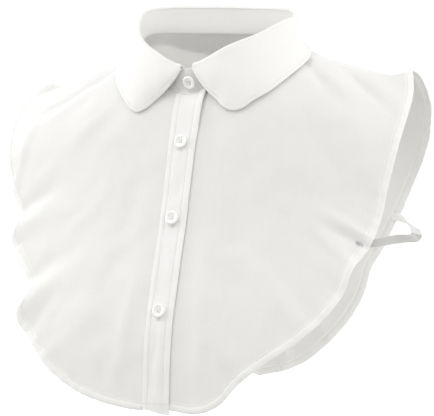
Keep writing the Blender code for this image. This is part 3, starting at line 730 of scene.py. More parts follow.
def hem_thickness(distance):
    """Single cloth, and three cloths in the turned band."""
    return CLOTH + HEM_BULK * fade(distance, HEM_WIDTH + 0.35, HEM_WIDTH - 0.1)


def hem_share(rows):
    """How folded the cloth is at each row: 1 in the turned band and 0 in the body."""
    return fade(to_edge(rows)[:, 0], HEM_WIDTH + 0.35, HEM_WIDTH - 0.1)


def shoulder_seam(drop):
    """The seam along the shoulder pulls the cloth in by half a millimetre at its line."""
    return -0.5 * np.exp(-(drop / 0.9) ** 2)


def bib(name, side, places, sign, shift, seed, pucker_size):
    """Outer and inner grids of a bib, the direction out of its edge, and its flat map."""
    across = places[..., 0] * sign
    drop = places[..., 1]
    distance = to_edge(len(places))
    around = arc_length(places[-1])[None, :]
    relief = hem_relief(distance, around, seed, pucker_size) + shoulder_seam(drop) + shift
    outer = on_body(side, across, drop, relief)
    inner = on_body(side, across, drop, relief - hem_thickness(distance) * np.ones(across.shape))
    rim_out = unit(outer[-1] - outer[-3])
    return outer, inner, np.stack((across, drop), -1), rim_out


def pressed_in(across):
    """The wearer's left front lies under the button band, so it is pressed in there."""
    return -1.55 * (1 - fade(across, PLACKET_HALF_WIDTH, 5 * PLACKET_HALF_WIDTH))


# %% The two fronts and the back
FRONT_COLUMNS = 330
BACK_HALF_COLUMNS = 250
seam_rows = {}

left_places = bib_places("front_left", -UNDERLAP, FRONT_COLUMNS)
left = bib("front_left", "front", left_places, 1, pressed_in(left_places[..., 0]), 0.4, 0.16)
front_left = wall("bib_front_left", *left, BIB_POPLIN, hem_share(len(left_places)))
seam_rows["front_left"] = left[0]

right_places = bib_places("front_right", UNDERLAP, FRONT_COLUMNS)
right = bib("front_right", "front", right_places, -1, 0.0, 2.1, 0.16)
front_right = wall("bib_front_right", *right, BIB_POPLIN, hem_share(len(right_places)))
seam_rows["front_right"] = right[0]

half_places = bib_places("back", 0.0, BACK_HALF_COLUMNS)
back_places = np.concatenate((half_places[:, :0:-1] * (-1, 1), half_places), axis=1)
back = bib("back", "back", back_places, 1, 0.0, 4.4, 0.34)
bib_back = wall("bib_back", *back, BIB_POPLIN, hem_share(len(back_places)))
seam_rows["back"] = back[0]

for piece, node in ((front_left, "front_left"), (front_right, "front_right"), (bib_back, "back")):
    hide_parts(node)
    print(piece.name, len(piece.data.polygons), "faces", round(grid_area(seam_rows[node]), 4), "m2")

# %% [markdown]
# ## Button band
# The band is a strip of the wearer's right front folded over a fusible strip, so it lies
# flatter than the bib. A line of stitches runs down each side of it, and the free edge curls
# out a little near the collar. It lies over the other front by its own thickness.

# %% The button band
PLACKET_DROP = 322.5
PLACKET_END_STEP = 3.5
PLACKET_FLARE = 5.0
PLACKET_FLARE_FADE = 25.0
PLACKET_PROUD = 0.4
PLACKET_THICKNESS = 1.3
PLACKET_STITCH = 4.4
PLACKET_ROWS = 300
PLACKET_COLUMNS = np.concatenate((
    np.linspace(-11, -10, 4), np.linspace(-9.4, -7.6, 5), np.linspace(-7.2, -5.9, 8),
    np.linspace(-5, 5, 12), np.linspace(5.9, 7.2, 8), np.linspace(7.6, 9.4, 5), np.linspace(10, 11, 4),
))
PLACKET_PUCKERS = np.array((
    # across, drop, degrees the crest points down from level, half width, half length, height
    (-3.0, 128, 84, 2.6, 14, 0.35),
    (3.5, 142, 96, 2.4, 12, -0.3),
    (2.0, 206, 80, 2.8, 16, 0.35),
    (-4.0, 222, 92, 2.4, 14, -0.3),
    (3.0, 268, 88, 3.0, 18, 0.6),
    (-3.5, 286, 84, 2.6, 16, -0.5),
    (1.0, 300, 92, 2.4, 12, 0.4),
))


def band_place(across, part):
    """Place on the flat of a point of the band, across it and as a share of its length."""
    top = NECK_FRONT_DROP * np.sqrt(1 - (across / NECK_HALF_WIDTH) ** 2)
    bottom = PLACKET_DROP + PLACKET_END_STEP * fade(across, -PLACKET_HALF_WIDTH, PLACKET_HALF_WIDTH)
    drop = top + part * (bottom - top)
    flare = PLACKET_FLARE * np.exp(-(drop - NECK_FRONT_DROP) / PLACKET_FLARE_FADE)
    return across + np.maximum(across, 0) / PLACKET_HALF_WIDTH * flare, drop


def band_relief(across, drop):
    """Height of the band's face: two stitch grooves, soft channels outside them, a rounded
    fold at each edge, small puckers, and the curl of the free edge under the collar."""
    edge = PLACKET_HALF_WIDTH - np.abs(across)
    groove = 0.3 * np.exp(-((edge - PLACKET_STITCH) / 0.55) ** 2)
    channel = 0.14 * np.sin(np.pi * np.clip(edge / PLACKET_STITCH, 0, 1))
    curl = 1.1 * fade(across, 3, 11) * np.exp(-((drop - 78) / 14) ** 2)
    along = puckers(drop, 3.0, 0.07) * np.exp(-((edge - PLACKET_STITCH) / 2.5) ** 2)
    hem = -0.35 * np.exp(-((drop - (PLACKET_DROP - 4)) / 0.6) ** 2)
    return PLACKET_PROUD + channel - groove + curl + along + hem + bells(PLACKET_PUCKERS, across, drop)


def band_point(across, part, out=0.0):
    """Point of the band's outer face, moved out."""
    place, drop = band_place(across, part)
    return on_body("front", place, drop, band_relief(across, drop) + out)


band_across = PLACKET_COLUMNS[:, None]
band_part = np.linspace(0, 1, PLACKET_ROWS)[None, :]
band_outer = band_point(band_across, band_part)
band_inner = band_point(band_across, band_part, -PLACKET_THICKNESS)
band_flat = np.stack(band_place(band_across, band_part), -1)
band_rim = unit(band_outer[-1] - band_outer[-3])
band = wall("button_band", band_outer, band_inner, band_flat, band_rim, BAND_POPLIN)
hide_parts("placket")
print(band.name, round(grid_area(band_outer), 4), "m2")

# %% [markdown]
# ## Collar stand
# The stand is the upright band that the leaf is sewn to. It leaves the neck seam in the
# direction of the bibs' cloth and turns upright: a cubic between the seam and the fold, whose
# slope at the seam is that direction. Its rounded right end laps over the left one at the
# front, so the left end is pressed in by one thickness.

# %% The collar stand
STAND_HEIGHT = np.array((
    # degrees from the front, height
    (0, 19.5), (30, 19), (60, 17.5), (90, 18), (135, 20), (180, 20),
))
STAND_LEAN = 1.5
STAND_LAP = 15.0
STAND_LAP_FADE = (14.0, 60.0)
STAND_STEP = 2.35
STAND_END_RADIUS = 14.0
STAND_END_DROP = 0.7
STAND_SWEEP = 9.0
STAND_THICKNESS = 1.7
STAND_PROUD = 0.4
STAND_COLUMNS = 420
SEAM_LAP = 0.9
SEAM_GAP = 0.35
LAP_ANGLE = float(np.degrees(np.arcsin(STAND_LAP / NECK_HALF_WIDTH)))


def neck_frame(around):
    """Point, outward direction and upward direction along the cloth at the neck seam, which is
    half an ellipse on the front and half another on the back."""
    turn = np.radians(np.asarray(around, float))
    front = np.cos(turn) > 0
    depth = np.where(front, NECK_FRONT_DROP, NECK_BACK_DROP)
    across = NECK_HALF_WIDTH * np.sin(turn)
    drop = depth * np.abs(np.cos(turn))
    away = unit(np.stack((across / NECK_HALF_WIDTH ** 2, drop / depth ** 2), -1))
    both = front[..., None]
    point = np.where(both, body_point("front", across, drop), body_point("back", across, drop))
    lower = (across + away[..., 0], drop + away[..., 1])
    further = np.where(both, body_point("front", *lower), body_point("back", *lower))
    upward = unit(point - further)
    along = np.stack((NECK_HALF_WIDTH * np.cos(turn), NECK_FRONT_DROP * np.sin(turn), np.zeros(turn.shape)), -1)
    return point, unit(np.cross(along, upward)), upward


def front_angle(around):
    """Degrees from the centre front, from 0 to 180, for a turn of any size."""
    return np.abs((np.asarray(around, float) + 180) % 360 - 180)


def stand_layer(around):
    """How far the stand is pressed in where its left end passes under its right end."""
    return -STAND_STEP * (1 - fade(around, *STAND_LAP_FADE))


def stand_end(around):
    """Share of the full height near the two rounded ends of the stand: a quarter circle."""
    reach = NECK_HALF_WIDTH * np.radians(np.minimum(
        np.asarray(around) + LAP_ANGLE, 360 + LAP_ANGLE - np.asarray(around)))
    part = np.clip(1 - reach / STAND_END_RADIUS, 0, 1)
    return 1 - STAND_END_DROP * (1 - np.sqrt(1 - part ** 2))


def stand_point(around, height, out=0.0, start_gap=SEAM_GAP):
    """Point of the stand at a share of its height, and its outward direction there."""
    around, height = np.broadcast_arrays(np.asarray(around, float), np.asarray(height, float))
    point, outward, upward = neck_frame(around)
    level = unit(outward * (1, 1, 0))
    tall = smooth(STAND_HEIGHT, front_angle(around))
    top = point + level * STAND_LEAN
    top[..., 2] = point[..., 2] + tall
    start = point + upward * start_gap
    part = (height * stand_end(around))[..., None]
    straight = np.array((0, 0, 1.0))
    curve = (
        start * (2 * part ** 3 - 3 * part ** 2 + 1)
        + top * (3 * part ** 2 - 2 * part ** 3)
        + upward * STAND_SWEEP * (part ** 3 - 2 * part ** 2 + part)
        + straight * tall[..., None] * (part ** 3 - part ** 2)
    )
    turn = fade(height, 0, 0.5)[..., None]
    direction = unit(outward * (1 - turn) + level * turn)
    shift = stand_layer(around) + out
    return curve + direction * np.asarray(shift)[..., None], direction


def stand_relief(around, height):
    """Height of the stand's outer face: a groove at the stitches just above the seam, a
    rounded lower edge, a groove inside the rounded end, and small puckers."""
    up = height * smooth(STAND_HEIGHT, front_angle(around))
    reach = NECK_HALF_WIDTH * np.radians(360 + LAP_ANGLE - around)
    groove = 0.3 * np.exp(-((up - 2.4) / 0.5) ** 2) + 0.25 * np.exp(-((reach - 2.2) / 0.5) ** 2)
    roll = 0.25 * np.exp(-(up / 1.6) ** 2)
    ripple = puckers(around * 1.15, 5.0, 0.05) * np.exp(-(up / 5) ** 2)
    return roll - groove + ripple


stand_around = np.linspace(-LAP_ANGLE, 360 + LAP_ANGLE, STAND_COLUMNS)[None, :]
stand_height = np.concatenate((
    np.linspace(1.02, 0.3, 18), np.linspace(0.26, 0.02, 14), (0.0,)))[:, None]
relief = stand_relief(stand_around, stand_height)
stand_outer, _ = stand_point(stand_around, stand_height, STAND_PROUD + relief, -SEAM_LAP)
stand_inner, _ = stand_point(stand_around, stand_height, STAND_PROUD - STAND_THICKNESS + relief * 0, -SEAM_LAP)
stand_flat = np.stack(np.broadcast_arrays(
    stand_around * NECK_HALF_WIDTH * np.pi / 180,
    stand_height * 20), -1)
stand_rim = unit(stand_outer[-1] - stand_outer[-3])
stand = wall("collar_band", stand_outer, stand_inner, stand_flat, stand_rim, STAND_POPLIN_PAINTED_SHADE)
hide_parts("collar_stand")
print(stand.name, round(grid_area(stand_outer), 4), "m2")

# %% [markdown]
# ## Collar leaf
# The leaf rolls over the top of the stand and falls to its edge, which lies on the bibs. Its
# under face is ruled between the fold and the edge and bellied by a short table. The edge is
# one smooth curve: down the front edge, round the corner and along the front and back. The
# leaf is two cloths and a fusing, turned out at a seam, so its edge is a soft roll with a line of
# fine stitches close inside it.

# %% The collar leaf
LEAF_CLOTH = 1.7
LEAF_THICKNESS = 1.6
LEAF_REST = 1.2
ROLL_RADIUS = 0.8
LEAF_FRONT_EDGE = {
    "left": ((29, 79), (35, 84), (42, 86), (49, 84), (57, 77), (68, 67), (81, 46), (88, 20)),
    "right": ((29, 78), (36, 83.5), (43, 85), (50, 80.5), (57, 72), (65, 61), (74, 41), (79, 19)),
}
LEAF_BACK_EDGE = ((82, 0), (76, 13), (67, 28), (53, 51), (30, 68), (0, 75))
LEAF_FIRST_ANGLE = 4.5
LEAF_FRONT_BOW = 2.5
LEAF_BOW_REACH = 30.0
LEAF_BOW = np.array((
    # degrees from the front, how far the leaf bellies out between its fold and its edge
    (0, 2.5), (45, 2), (90, -4), (115, -5), (145, -1), (180, 1.5),
))
LEAF_STITCH = 2.0
LEAF_HALF_COLUMNS = 230
LEAF_ROLL_ROWS = 9
LEAF_FALL = np.concatenate((np.linspace(0, 0.86, 34)[1:], np.linspace(0.88, 1, 18)))


def fold_point(around, part):
    """Under face of the roll at the fold: half a circle from the neck side at 0 to the outer
    side at 1, wider where it has to pass over the lapped stand."""
    top, level = stand_point(around, np.ones(np.shape(around)))
    turn = np.pi * (1 - np.asarray(part, float))
    radius = (ROLL_RADIUS - stand_layer(around) / 2)[..., None]
    centre = top + level * (radius + 0.2) + np.array((0, 0, SEAM_GAP + 0.1))
    swing = level * np.cos(turn)[..., None] + np.array((0, 0, 1.0)) * np.sin(turn)[..., None]
    return centre + swing * radius, swing


def leaf_edge(side, count):
    """Under face of the leaf's edge, from the front end of the fold to the centre back."""
    sign = 1 if side == "left" else -1
    around = LEAF_FIRST_ANGLE if sign > 0 else 360 - LEAF_FIRST_ANGLE
    start = fold_point(np.array(around), 1.0)[0]
    front = np.array(LEAF_FRONT_EDGE[side], float)
    rear = np.array(LEAF_BACK_EDGE, float)
    on_front = on_solid("front", front[:, 0] * sign, front[:, 1], np.full(len(front), LEAF_REST))
    on_rear = on_solid("back", rear[:, 0] * sign, rear[:, 1], np.full(len(rear), LEAF_REST))
    parts = np.array((0.02, 0.25, 0.5, 0.75))[:, None]
    rising = start + parts * (on_front[0] - start)
    rising[:, 0] -= sign * LEAF_FRONT_BOW * 4 * (parts * (1 - parts))[:, 0]
    points = np.concatenate((rising, on_front, on_rear))
    chord = np.concatenate(((0,), np.cumsum(np.linalg.norm(np.diff(points, axis=0), axis=1))))
    rows = np.column_stack((chord, points))
    at = np.linspace(0, chord[-1], count)
    return np.column_stack([smooth(rows, at, column) for column in (1, 2, 3)])


def leaf_half(side):
    """Under face of one half of the leaf, front end first."""
    around = np.linspace(LEAF_FIRST_ANGLE, 180, LEAF_HALF_COLUMNS)
    if side == "right":
        around = 360 - around
    edge = leaf_edge(side, LEAF_HALF_COLUMNS)
    rows = [fold_point(around, np.full(LEAF_HALF_COLUMNS, part))[0] for part in np.linspace(0, 1, LEAF_ROLL_ROWS)]
    fold_end, level = fold_point(around, np.ones(LEAF_HALF_COLUMNS))
    level = level * (1, 1, 0)
    reach = np.linalg.norm(edge - fold_end, axis=1)[:, None]
    belly = smooth(LEAF_BOW, front_angle(around))[:, None] * np.minimum(reach / LEAF_BOW_REACH, 1)
    for part in LEAF_FALL:
        rows.append(fold_end + part * (edge - fold_end) + level * belly * 5.6 * part ** 1.6 * (1 - part))
    return np.array(rows), around


def grid_normals(points, towards):
    """Directions square to a grid of points, on the side that towards lies on."""
    normal = unit(np.cross(np.gradient(points, axis=0), np.gradient(points, axis=1)))
    return normal if np.sum(normal * towards) > 0 else -normal


leaf_left, angles_left = leaf_half("left")
leaf_right, angles_right = leaf_half("right")
leaf_under = np.concatenate((leaf_left, leaf_right[:, -2::-1]), axis=1)
leaf_angles = np.concatenate((angles_left, angles_right[-2::-1]))
leaf_out = leaf_under - leaf_under.mean(axis=(0, 1))
leaf_out[:LEAF_ROLL_ROWS - 1] = 0
leaf_normal = grid_normals(leaf_under, leaf_out)
for row, part in enumerate(np.linspace(0, 1, LEAF_ROLL_ROWS)):
    leaf_normal[row] = fold_point(leaf_angles, np.full(len(leaf_angles), part))[1]
print("leaf grid", leaf_under.shape[:2])

# %% [markdown]
# The stitches follow the edge at an even distance, down the front edges too, where the
# columns of the grid run almost beside it. So each point's distance is measured to the
# nearest point of the edge curve itself, row by row.

# %% Relief of the leaf and its mesh
edge_share = np.linspace(0, leaf_under.shape[1] - 1, 1800)
fine_edge = np.column_stack([
    np.interp(edge_share, np.arange(leaf_under.shape[1]), leaf_under[-1, :, axis]) for axis in range(3)])
leaf_distance = np.stack([
    np.linalg.norm(row[:, None] - fine_edge[None], axis=-1).min(axis=1) for row in leaf_under])
leaf_around = arc_length(leaf_under[-1])[None, :]
leaf_relief = (
    0.16 * np.sin(np.pi * np.clip(leaf_distance / LEAF_STITCH, 0, 1))
    - 0.26 * np.exp(-((leaf_distance - LEAF_STITCH) / 0.5) ** 2)
    + puckers(leaf_around, 1.3, 0.05) * np.exp(-(leaf_distance / 5) ** 2)
)
leaf_relief[:LEAF_ROLL_ROWS] = 0
leaf_outer = leaf_under + leaf_normal * (LEAF_CLOTH + leaf_relief)[..., None]
leaf_inner = leaf_under + leaf_normal * (LEAF_CLOTH - LEAF_THICKNESS)
leaf_flat = np.stack(np.broadcast_arrays(leaf_around, leaf_distance), -1)
leaf_rim = unit(leaf_outer[-1] - leaf_outer[-4])
leaf = wall("collar_leaf_cloth", leaf_outer, leaf_inner, leaf_flat, leaf_rim, COLLAR_POPLIN)
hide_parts("collar_leaf")
print(leaf.name, round(grid_area(leaf_outer), 4), "m2")

# %% [markdown]
# ## Stitches
# Every line of topstitching is a row of short thread bulges, each sunk into its groove.
# One stitch is a capsule of six sides and five rings: its radius follows half a sine along its
# length, so it dives into the cloth at both ends. All stitches of one piece are made at
# once from arrays and become one object.

# %% Helpers for stitches
STITCH_LENGTH = 2.3
STITCH_GAP = 0.5
THREAD_RADIUS = 0.17
STITCH_SIDES = 6
STITCH_RINGS = 5


def closed_tubes(shape):
    """Faces of tubes given as an array (tube, ring, side, xyz), each closed by strips at its ends."""
    tubes, rings, sides = shape.shape[:3]
    index = np.arange(tubes * rings * sides).reshape(tubes, rings, sides)
    after = np.roll(index, -1, axis=2)
    skin = np.stack((index[:, :-1], after[:, :-1], after[:, 1:], index[:, 1:]), -1).reshape(-1, 4)
    near = np.arange(sides // 2 - 1)
    caps = []
    for ring, turned in ((0, -1), (rings - 1, 1)):
        loop = index[:, ring]
        strip = np.stack((loop[:, near], loop[:, near + 1], loop[:, sides - 2 - near], loop[:, sides - 1 - near]), -1)
        caps.append(strip.reshape(-1, 4)[:, ::turned])
    return np.concatenate((skin, *caps))


def stitch_line(points, normals, length=STITCH_LENGTH, gap=STITCH_GAP):
    """Evenly spaced stitches along a line: the middle, run and outward direction of each."""
    chord = arc_length(points)
    count = int(chord[-1] // (length + gap))
    at = (np.arange(count) + 0.5) * chord[-1] / count
    middles, ahead, behind = (
        np.column_stack([np.interp(at + step, chord, points[:, axis]) for axis in range(3)])
        for step in (0, 0.8, -0.8))
    outs = np.column_stack([np.interp(at, chord, normals[:, axis]) for axis in range(3)])
    return middles, unit(ahead - behind), unit(outs)


def capsules(name, lines, length, radius):
    """One object of many thread bulges: along the run by -cos(t) of half the length, as wide as
    sin(t) of the radius, and dipped into the cloth at both ends."""
    middles, runs, outs = (np.concatenate(part)[:, None, None] for part in zip(*lines))
    turn = np.linspace(0.06, 0.94, STITCH_RINGS)[None, :, None, None] * np.pi
    sides = np.linspace(0, 2 * np.pi, STITCH_SIDES, endpoint=False)[None, None, :, None]
    wide = np.sin(turn) * radius
    shape = middles - runs * np.cos(turn) * length / 2 + outs * (np.sin(turn) - 1) * radius
    shape = shape + (np.cross(outs, runs) * np.cos(sides) + outs * np.sin(sides)) * wide
    made = make_mesh(name, shape, closed_tubes(shape), THREAD)
    print(name, shape.shape[0], "stitches")
    return made


def row_normals(grid, row):
    """Directions square to an outer face along one of its rows, to either side; the caller turns them outwards."""
    normal = unit(np.cross(np.gradient(grid, axis=1)[row], np.gradient(grid, axis=0)[row]))
    return normal


# %% Stitches of the hems, the band, the stand and the leaf
for node, facing in (("front_left", -1), ("front_right", -1), ("back", 1)):
    grid = seam_rows[node]
    normal = row_normals(grid, STITCH_ROW)
    normal = normal * np.sign(np.sum(normal[:, 1]) * facing)
    capsules(
        "hem_stitches_" + node, [stitch_line(grid[STITCH_ROW] + normal * 0.12, normal)], STITCH_LENGTH, THREAD_RADIUS)

band_lines = []
for across in (-1, 1):
    place = np.full(400, across * (PLACKET_HALF_WIDTH - PLACKET_STITCH))
    part = np.linspace(0.01, 0.995, 400)
    out = body_normal("front", *band_place(place, part))
    band_lines.append(stitch_line(band_point(place, part, 0.12), out))
band_stitches = capsules("band_stitches", band_lines, STITCH_LENGTH, THREAD_RADIUS)

seam_around = np.linspace(20, 360 + LAP_ANGLE - 2.2, 700)
seam_height = 2.4 / smooth(STAND_HEIGHT, front_angle(seam_around))
end_height = np.linspace(0.2, 0.98, 60)
end_around = np.full(60, 360 + LAP_ANGLE - np.degrees(2.2 / NECK_HALF_WIDTH))
stand_lines = [
    stitch_line(*stand_point(seam_around, seam_height, STAND_PROUD - 0.1, -SEAM_LAP)),
    stitch_line(*stand_point(end_around, end_height, STAND_PROUD - 0.05, -SEAM_LAP)),
]
stand_stitches = capsules("stand_stitches", stand_lines, STITCH_LENGTH, THREAD_RADIUS)

edge_run = unit(np.gradient(leaf_under[-1], axis=0))
edge_inward = np.cross(leaf_normal[-1], edge_run)
edge_inward = edge_inward * np.sign(np.sum(edge_inward * (leaf_under[-8] - leaf_under[-1])))
leaf_line = leaf_under[-1] + edge_inward * LEAF_STITCH + leaf_normal[-1] * (LEAF_CLOTH - 0.05)
leaf_stitches = capsules(
    "leaf_stitches", [stitch_line(leaf_line[4:-4], leaf_normal[-1][4:-4], 1.9, 0.45)], 1.9, 0.14)

# %% [markdown]
# ## Buttons and buttonholes
# Each button is turned from a round blank of resin: a flat back, a rounded edge, a raised
# rim and a shallow dish with four holes. The face is a height over a polar grid: the profile
# below less a steep dimple at each hole. Threads cross between the holes, and the
# buttonhole under it is two rows of close satin stitches. The collar's
# button hangs askew on its thread.

# %% The four buttons with their buttonholes
BUTTON_PROFILE = np.array((
    # radius, height of the face
    (0, 1.6), (1.5, 1.62), (2.6, 1.7), (3.1, 1.86), (3.6, 2.14), (4.1, 2.32), (4.5, 2.35),
    (4.9, 2.22), (5.3, 1.85), (5.5, 1.4),
))
BUTTON_BACK = np.array((
    # radius, height of the back
    (5.45, 1.1), (5.1, 0.7), (4.5, 0.3), (3.7, 0.0), (1.5, 0.0), (0.05, 0.0),
))
BUTTON_SIDES = 72
BUTTON_DROPS = (109.0, 171.5, 246.5)
HOLE_PLACE = 1.05
HOLE_RADIUS = 0.52
HOLE_DEPTH = 1.1
STAND_BUTTON = (362.0, 0.5)
STAND_BUTTON_OUT = 1.3 + 1.9
STAND_BUTTON_TILT = 28.0
BUTTONHOLE_LENGTH = 13.0
BUTTONHOLE_WIDTH = 2.9
SATIN_SPACING = 0.42


def button_shape():
    """A button about its own axes: rings of points over the face, round the rim and the back."""
    radius = np.concatenate((
        np.linspace(0.05, 3.0, 28), np.linspace(3.1, 5.5, 14), BUTTON_BACK[:, 0]))[:, None]
    turn = np.linspace(0, 2 * np.pi, BUTTON_SIDES, endpoint=False)[None, :]
    aside, up = radius * np.cos(turn), radius * np.sin(turn)
    height = smooth(BUTTON_PROFILE, radius) + 0 * turn
    for across in (-HOLE_PLACE, HOLE_PLACE):
        for along in (-HOLE_PLACE, HOLE_PLACE):
            height = height - HOLE_DEPTH * np.exp(-(np.hypot(aside - across, up - along) / HOLE_RADIUS) ** 6)
    height[-len(BUTTON_BACK):] = BUTTON_BACK[:, 1:]
    return np.stack((aside, up, height), -1)


def button(name, centre, axis, tilt=0.0):
    """A button and its threads at a centre, facing along an axis, tilted down to the right."""
    axis = unit(axis)
    side = unit(np.cross((0, 0, 1.0), axis))
    up = np.cross(axis, side)
    lean = np.radians(tilt)
    axis = unit(axis * np.cos(lean) - (side * 0.25 + up * 0.97) * np.sin(lean))
    side = unit(side - axis * np.dot(side, axis))
    basis = np.stack((side, np.cross(axis, side), axis))
    shape = (button_shape() @ basis + centre)[None]
    made = make_mesh("turned_" + name, shape, closed_tubes(shape), RESIN)
    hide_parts(name)
    strand = np.array([(place, step) for place in (-HOLE_PLACE, HOLE_PLACE) for step in (-0.22, 0, 0.22)])
    middles = np.column_stack((strand.sum(axis=1), np.zeros(6), np.full(6, 1.86))) @ basis + centre
    lines = [(middles, np.tile(basis[1], (6, 1)), np.tile(basis[2], (6, 1)))]
    capsules("thread_" + name, lines, 2.9, 0.16)
    return made


def buttonhole(centre, out, along):
    """Satin stitches of a buttonhole about a centre: two rows across its length."""
    out = unit(out)
    along = unit(along - out * np.dot(along, out))
    aside = np.cross(out, along)
    at = np.arange(-BUTTONHOLE_LENGTH / 2, BUTTONHOLE_LENGTH / 2, SATIN_SPACING)
    row = BUTTONHOLE_WIDTH / 4
    middles = np.concatenate([centre + aside * side * row + along * at[:, None] for side in (-1, 1)])
    return middles, np.tile(aside, (len(middles), 1)), np.tile(out, (len(middles), 1))


centre, axis = stand_point(np.array(STAND_BUTTON[0]), np.array(STAND_BUTTON[1]), STAND_BUTTON_OUT)
button("button_1", centre, axis, STAND_BUTTON_TILT)
hole_centre, _ = stand_point(np.array(STAND_BUTTON[0] - 1.5), np.array(STAND_BUTTON[1]), STAND_PROUD + 0.1)
holes = [buttonhole(hole_centre, axis, np.array((1.0, 0, 0)))]
for number, drop in enumerate(BUTTON_DROPS, start=2):
    axis = body_normal("front", 0.0, drop)
    face = PLACKET_PROUD + float(bells(PLACKET_PUCKERS, np.array(0.0), np.array(drop)))
    button(f"button_{number}", on_body("front", np.array(0.0), np.array(drop), np.array(face + 0.45)), axis)
    hole_drop = drop + 1.6
    hole_centre = on_body("front", np.array(0.0), np.array(hole_drop), np.array(face + 0.05))
    below = body_point("front", 0.0, hole_drop + 1) - body_point("front", 0.0, hole_drop)
    holes.append(buttonhole(hole_centre, axis, below))
satin = capsules("buttonhole_stitches", holes, BUTTONHOLE_WIDTH / 2, 0.2)

# %% [markdown]
# ## Elastics
# At each side a narrow elastic joins the front's edge to the back's. It is sewn flat inside both
# hems, runs back along the side and bunches where it turns up. Its face is ribbed
# by the rubber cores, and the bunch is a few short waves with a thicker middle.

# %% The two elastics
ELASTIC_FRONT_END = ((148, 169), (155, 166))
ELASTIC_BACK_END = ((131, 164), (126, 166))
ELASTIC_END_WIDTH = 6.0
ELASTIC_THICKNESS = 1.0
ELASTIC_REST = 2.3
ELASTIC_ROUTE = np.array((
    # across, back, up, width, degrees its face turns from upright
    (166, -26, -147, 6.5, 0),
    (170, 2, -146.5, 6.5, 0),
    (168, 15, -145.5, 9, 70),
    (161, 36, -141, 8, 80),
    (149, 58, -137, 5, 60),
))
ELASTIC_COLUMNS = 260
ELASTIC_ROWS = 37
BUNCH = (0.45, 2.6, 6.5)


def elastic_path(count):
    """Points along the elastic with the direction its face looks and its width, and the
    running length at which it bunches."""
    points, faces = [], []
    for side, places in (("front", ELASTIC_FRONT_END), ("back", ELASTIC_BACK_END)):
        places = np.array(places, float)
        points.append(on_solid(side, places[:, 0], places[:, 1], np.full(2, -ELASTIC_REST)))
        faces.append(body_normal(side, places[:, 0], places[:, 1]))
    middle = ELASTIC_ROUTE[:, :3]
    points.insert(1, middle)
    level = -unit(np.cross(np.gradient(middle, axis=0), (0, 0, 1.0)))
    turn = np.radians(ELASTIC_ROUTE[:, 4])[:, None]
    faces.insert(1, -level * np.cos(turn) + np.array((0, 0, 1.0)) * np.sin(turn))
    points, faces = np.concatenate(points), np.concatenate(faces)
    ends = np.full(2, ELASTIC_END_WIDTH)
    width = np.concatenate((ends, ELASTIC_ROUTE[:, 3], ends))
    chord = arc_length(points)
    rows = np.column_stack((chord, points, faces, width))
    at = np.linspace(0, chord[-1], count)
    columns = np.column_stack([smooth(rows, at, column) for column in range(1, 8)])
    return columns[:, :3], columns[:, 3:6], columns[:, 6:], at - chord[4]


def elastic(name, sign):
    """A ribbed band along the path: ribs are cosines across it, and the bunch a fading wave."""
    path, thick, width, from_bunch = elastic_path(ELASTIC_COLUMNS)
    run = unit(np.gradient(path, axis=0))
    thick = unit(thick - run * np.sum(thick * run, axis=1, keepdims=True))
    wide = np.cross(run, thick) * width / 2
    across = np.linspace(-1, 1, ELASTIC_ROWS)[:, None, None]
    size, wave, reach = BUNCH
    bunch = np.exp(-(from_bunch / reach) ** 2)[None, :, None]
    lift = size * bunch * np.sin(2 * np.pi * from_bunch / wave)[None, :, None] * np.cos(across * 2.2)
    rib = 0.13 * np.cos(np.pi * ELASTIC_RIBS * across) * (1 - 0.5 * bunch)
    half = ELASTIC_THICKNESS / 2 * (1 + 0.5 * bunch) * (1 - 0.35 * np.abs(across) ** 8)
    middle = path + wide * across * (1 - 0.12 * bunch) + thick * lift
    mirror = np.array((sign, 1, 1))
    outer = (middle + thick * (half + rib)) * mirror
    inner = (middle - thick * (half + rib)) * mirror
    flat = np.stack(np.broadcast_arrays(from_bunch[None, :], across[..., 0] * 3), -1)
    made = wall("woven_" + name, outer, inner, flat, unit(outer[-1] - outer[-3]), ELASTIC)
    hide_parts(name)
    print(made.name, round(arc_length(path)[-1], 1), "mm long")
    return made


elastic("elastic_left", 1)
elastic("elastic_right", -1)

# %% [markdown]
# ## Areas of the cloth
# The area printed for each cloth piece is that of its outer face: nothing is stretched or gathered.

# %% [markdown]
# ## Floor and light
# The room is a light tent, nearly white all round, and six round soft boxes stand round the bib
# at one distance. The strongest are low at its two sides, so they brighten its edges and rake
# over its folds, as the picture shows, and two behind shine a little through the single cloth.
# The boxes are hidden from the camera. Behind the bib the floor and the room glow white, as a
# backdrop with its own lights does, and elsewhere both are a pale grey that the cloth stands
# out from.

# %% The floor
FLOOR_HEIGHT = -420
FLOOR_SIZE = 9000
FLOOR_GLOW_FROM = 600
FLOOR_GLOW_TO = 920
FLOOR_GLOW = 0.6
BACKWARDS = (-np.sin(CAMERA_AZIMUTH), np.cos(CAMERA_AZIMUTH), 0)

floor_corners = np.array(((-1, -1), (1, -1), (1, 1), (-1, 1))) * FLOOR_SIZE / 2 * MM
floor_mesh = bpy.data.meshes.new("floor")
floor_mesh.from_pydata([(x, y, FLOOR_HEIGHT * MM) for x, y in floor_corners], [], [(0, 1, 2, 3)])
floor = bpy.data.objects.new("floor", floor_mesh)
bpy.context.scene.collection.objects.link(floor)
floor_material, floor_tree, floor_shader = start_material(
    "matt_pale_floor", Base_Color=linear("#BFBFBD"), Roughness=0.9, Emission_Color=(1, 1, 1, 1))
floor_place = add(floor_tree, "ShaderNodeTexCoord")
floor_far = add(floor_tree, "ShaderNodeVectorMath", {"operation": "DOT_PRODUCT"},
                i0=floor_place.outputs["Object"], i1=BACKWARDS)
floor_glow = add(floor_tree, "ShaderNodeMapRange", {"interpolation_type": "SMOOTHSTEP"},
                 Value=floor_far.outputs["Value"], From_Min=FLOOR_GLOW_FROM * MM, From_Max=FLOOR_GLOW_TO * MM,
                 To_Min=0.0, To_Max=FLOOR_GLOW)
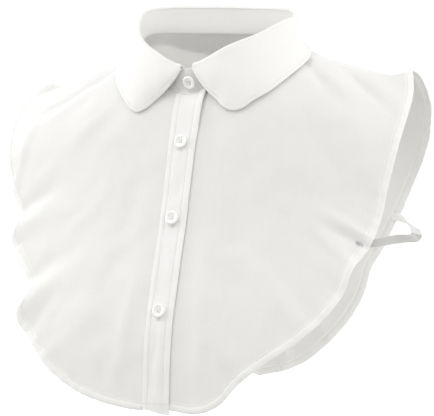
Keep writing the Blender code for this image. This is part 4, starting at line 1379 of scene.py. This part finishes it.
floor_tree.links.new(floor_glow.outputs[0], floor_shader.inputs["Emission Strength"])
floor_mesh.materials.append(floor_material)

# %% The light
ROOM_LIGHT = 0.8
ROOM_BEHIND = 0.26
LAMP_DISTANCE = 1400
LAMP_SIZE = 700
LAMP_AIM = np.array((0, 0, -100.0))
LAMPS = (
    # name, degrees from the front towards the wearer's left, degrees up, watts
    ("key", -40, 50, 5.0),
    ("front", 60, 20, 2.9),
    ("right_side", -80, 8, 7.4),
    ("left_side", 95, 8, 4.2),
    ("rear_left", 150, 20, 1.8),
    ("rear_right", -150, 20, 1.0),
)

room = bpy.data.worlds.new("white_room")
room.use_nodes = True
bpy.context.scene.world = room
room_tree = room.node_tree
background = room_tree.nodes["Background"]
direction = add(room_tree, "ShaderNodeTexCoord")
behind = add(room_tree, "ShaderNodeVectorMath", {"operation": "DOT_PRODUCT"},
             i0=direction.outputs["Generated"], i1=BACKWARDS)
strength = add(room_tree, "ShaderNodeMapRange", {"interpolation_type": "SMOOTHSTEP"},
               Value=behind.outputs["Value"], From_Min=0.8, From_Max=0.975,
               To_Min=ROOM_LIGHT, To_Max=ROOM_LIGHT + ROOM_BEHIND)
room_tree.links.new(strength.outputs[0], background.inputs["Strength"])
background.inputs["Color"].default_value = (1.0, 0.998, 0.992, 1)

for lamp_name, azimuth, elevation, watts in LAMPS:
    turn, rise = np.radians((azimuth, elevation))
    away = np.array((np.sin(turn) * np.cos(rise), -np.cos(turn) * np.cos(rise), np.sin(rise)))
    lamp_data = bpy.data.lights.new(lamp_name, "AREA")
    lamp_data.shape = "DISK"
    lamp_data.size = LAMP_SIZE * MM
    lamp_data.energy = watts
    lamp = bpy.data.objects.new(lamp_name, lamp_data)
    lamp.location = (LAMP_AIM + away * LAMP_DISTANCE) * MM
    lamp.rotation_euler = (np.pi / 2 - rise, 0, turn)
    lamp.visible_camera = False
    bpy.context.scene.collection.objects.link(lamp)
bpy.context.scene.view_settings.view_transform = "Standard"
print("lit by a room of", ROOM_LIGHT, "and", len(LAMPS), "lamps")
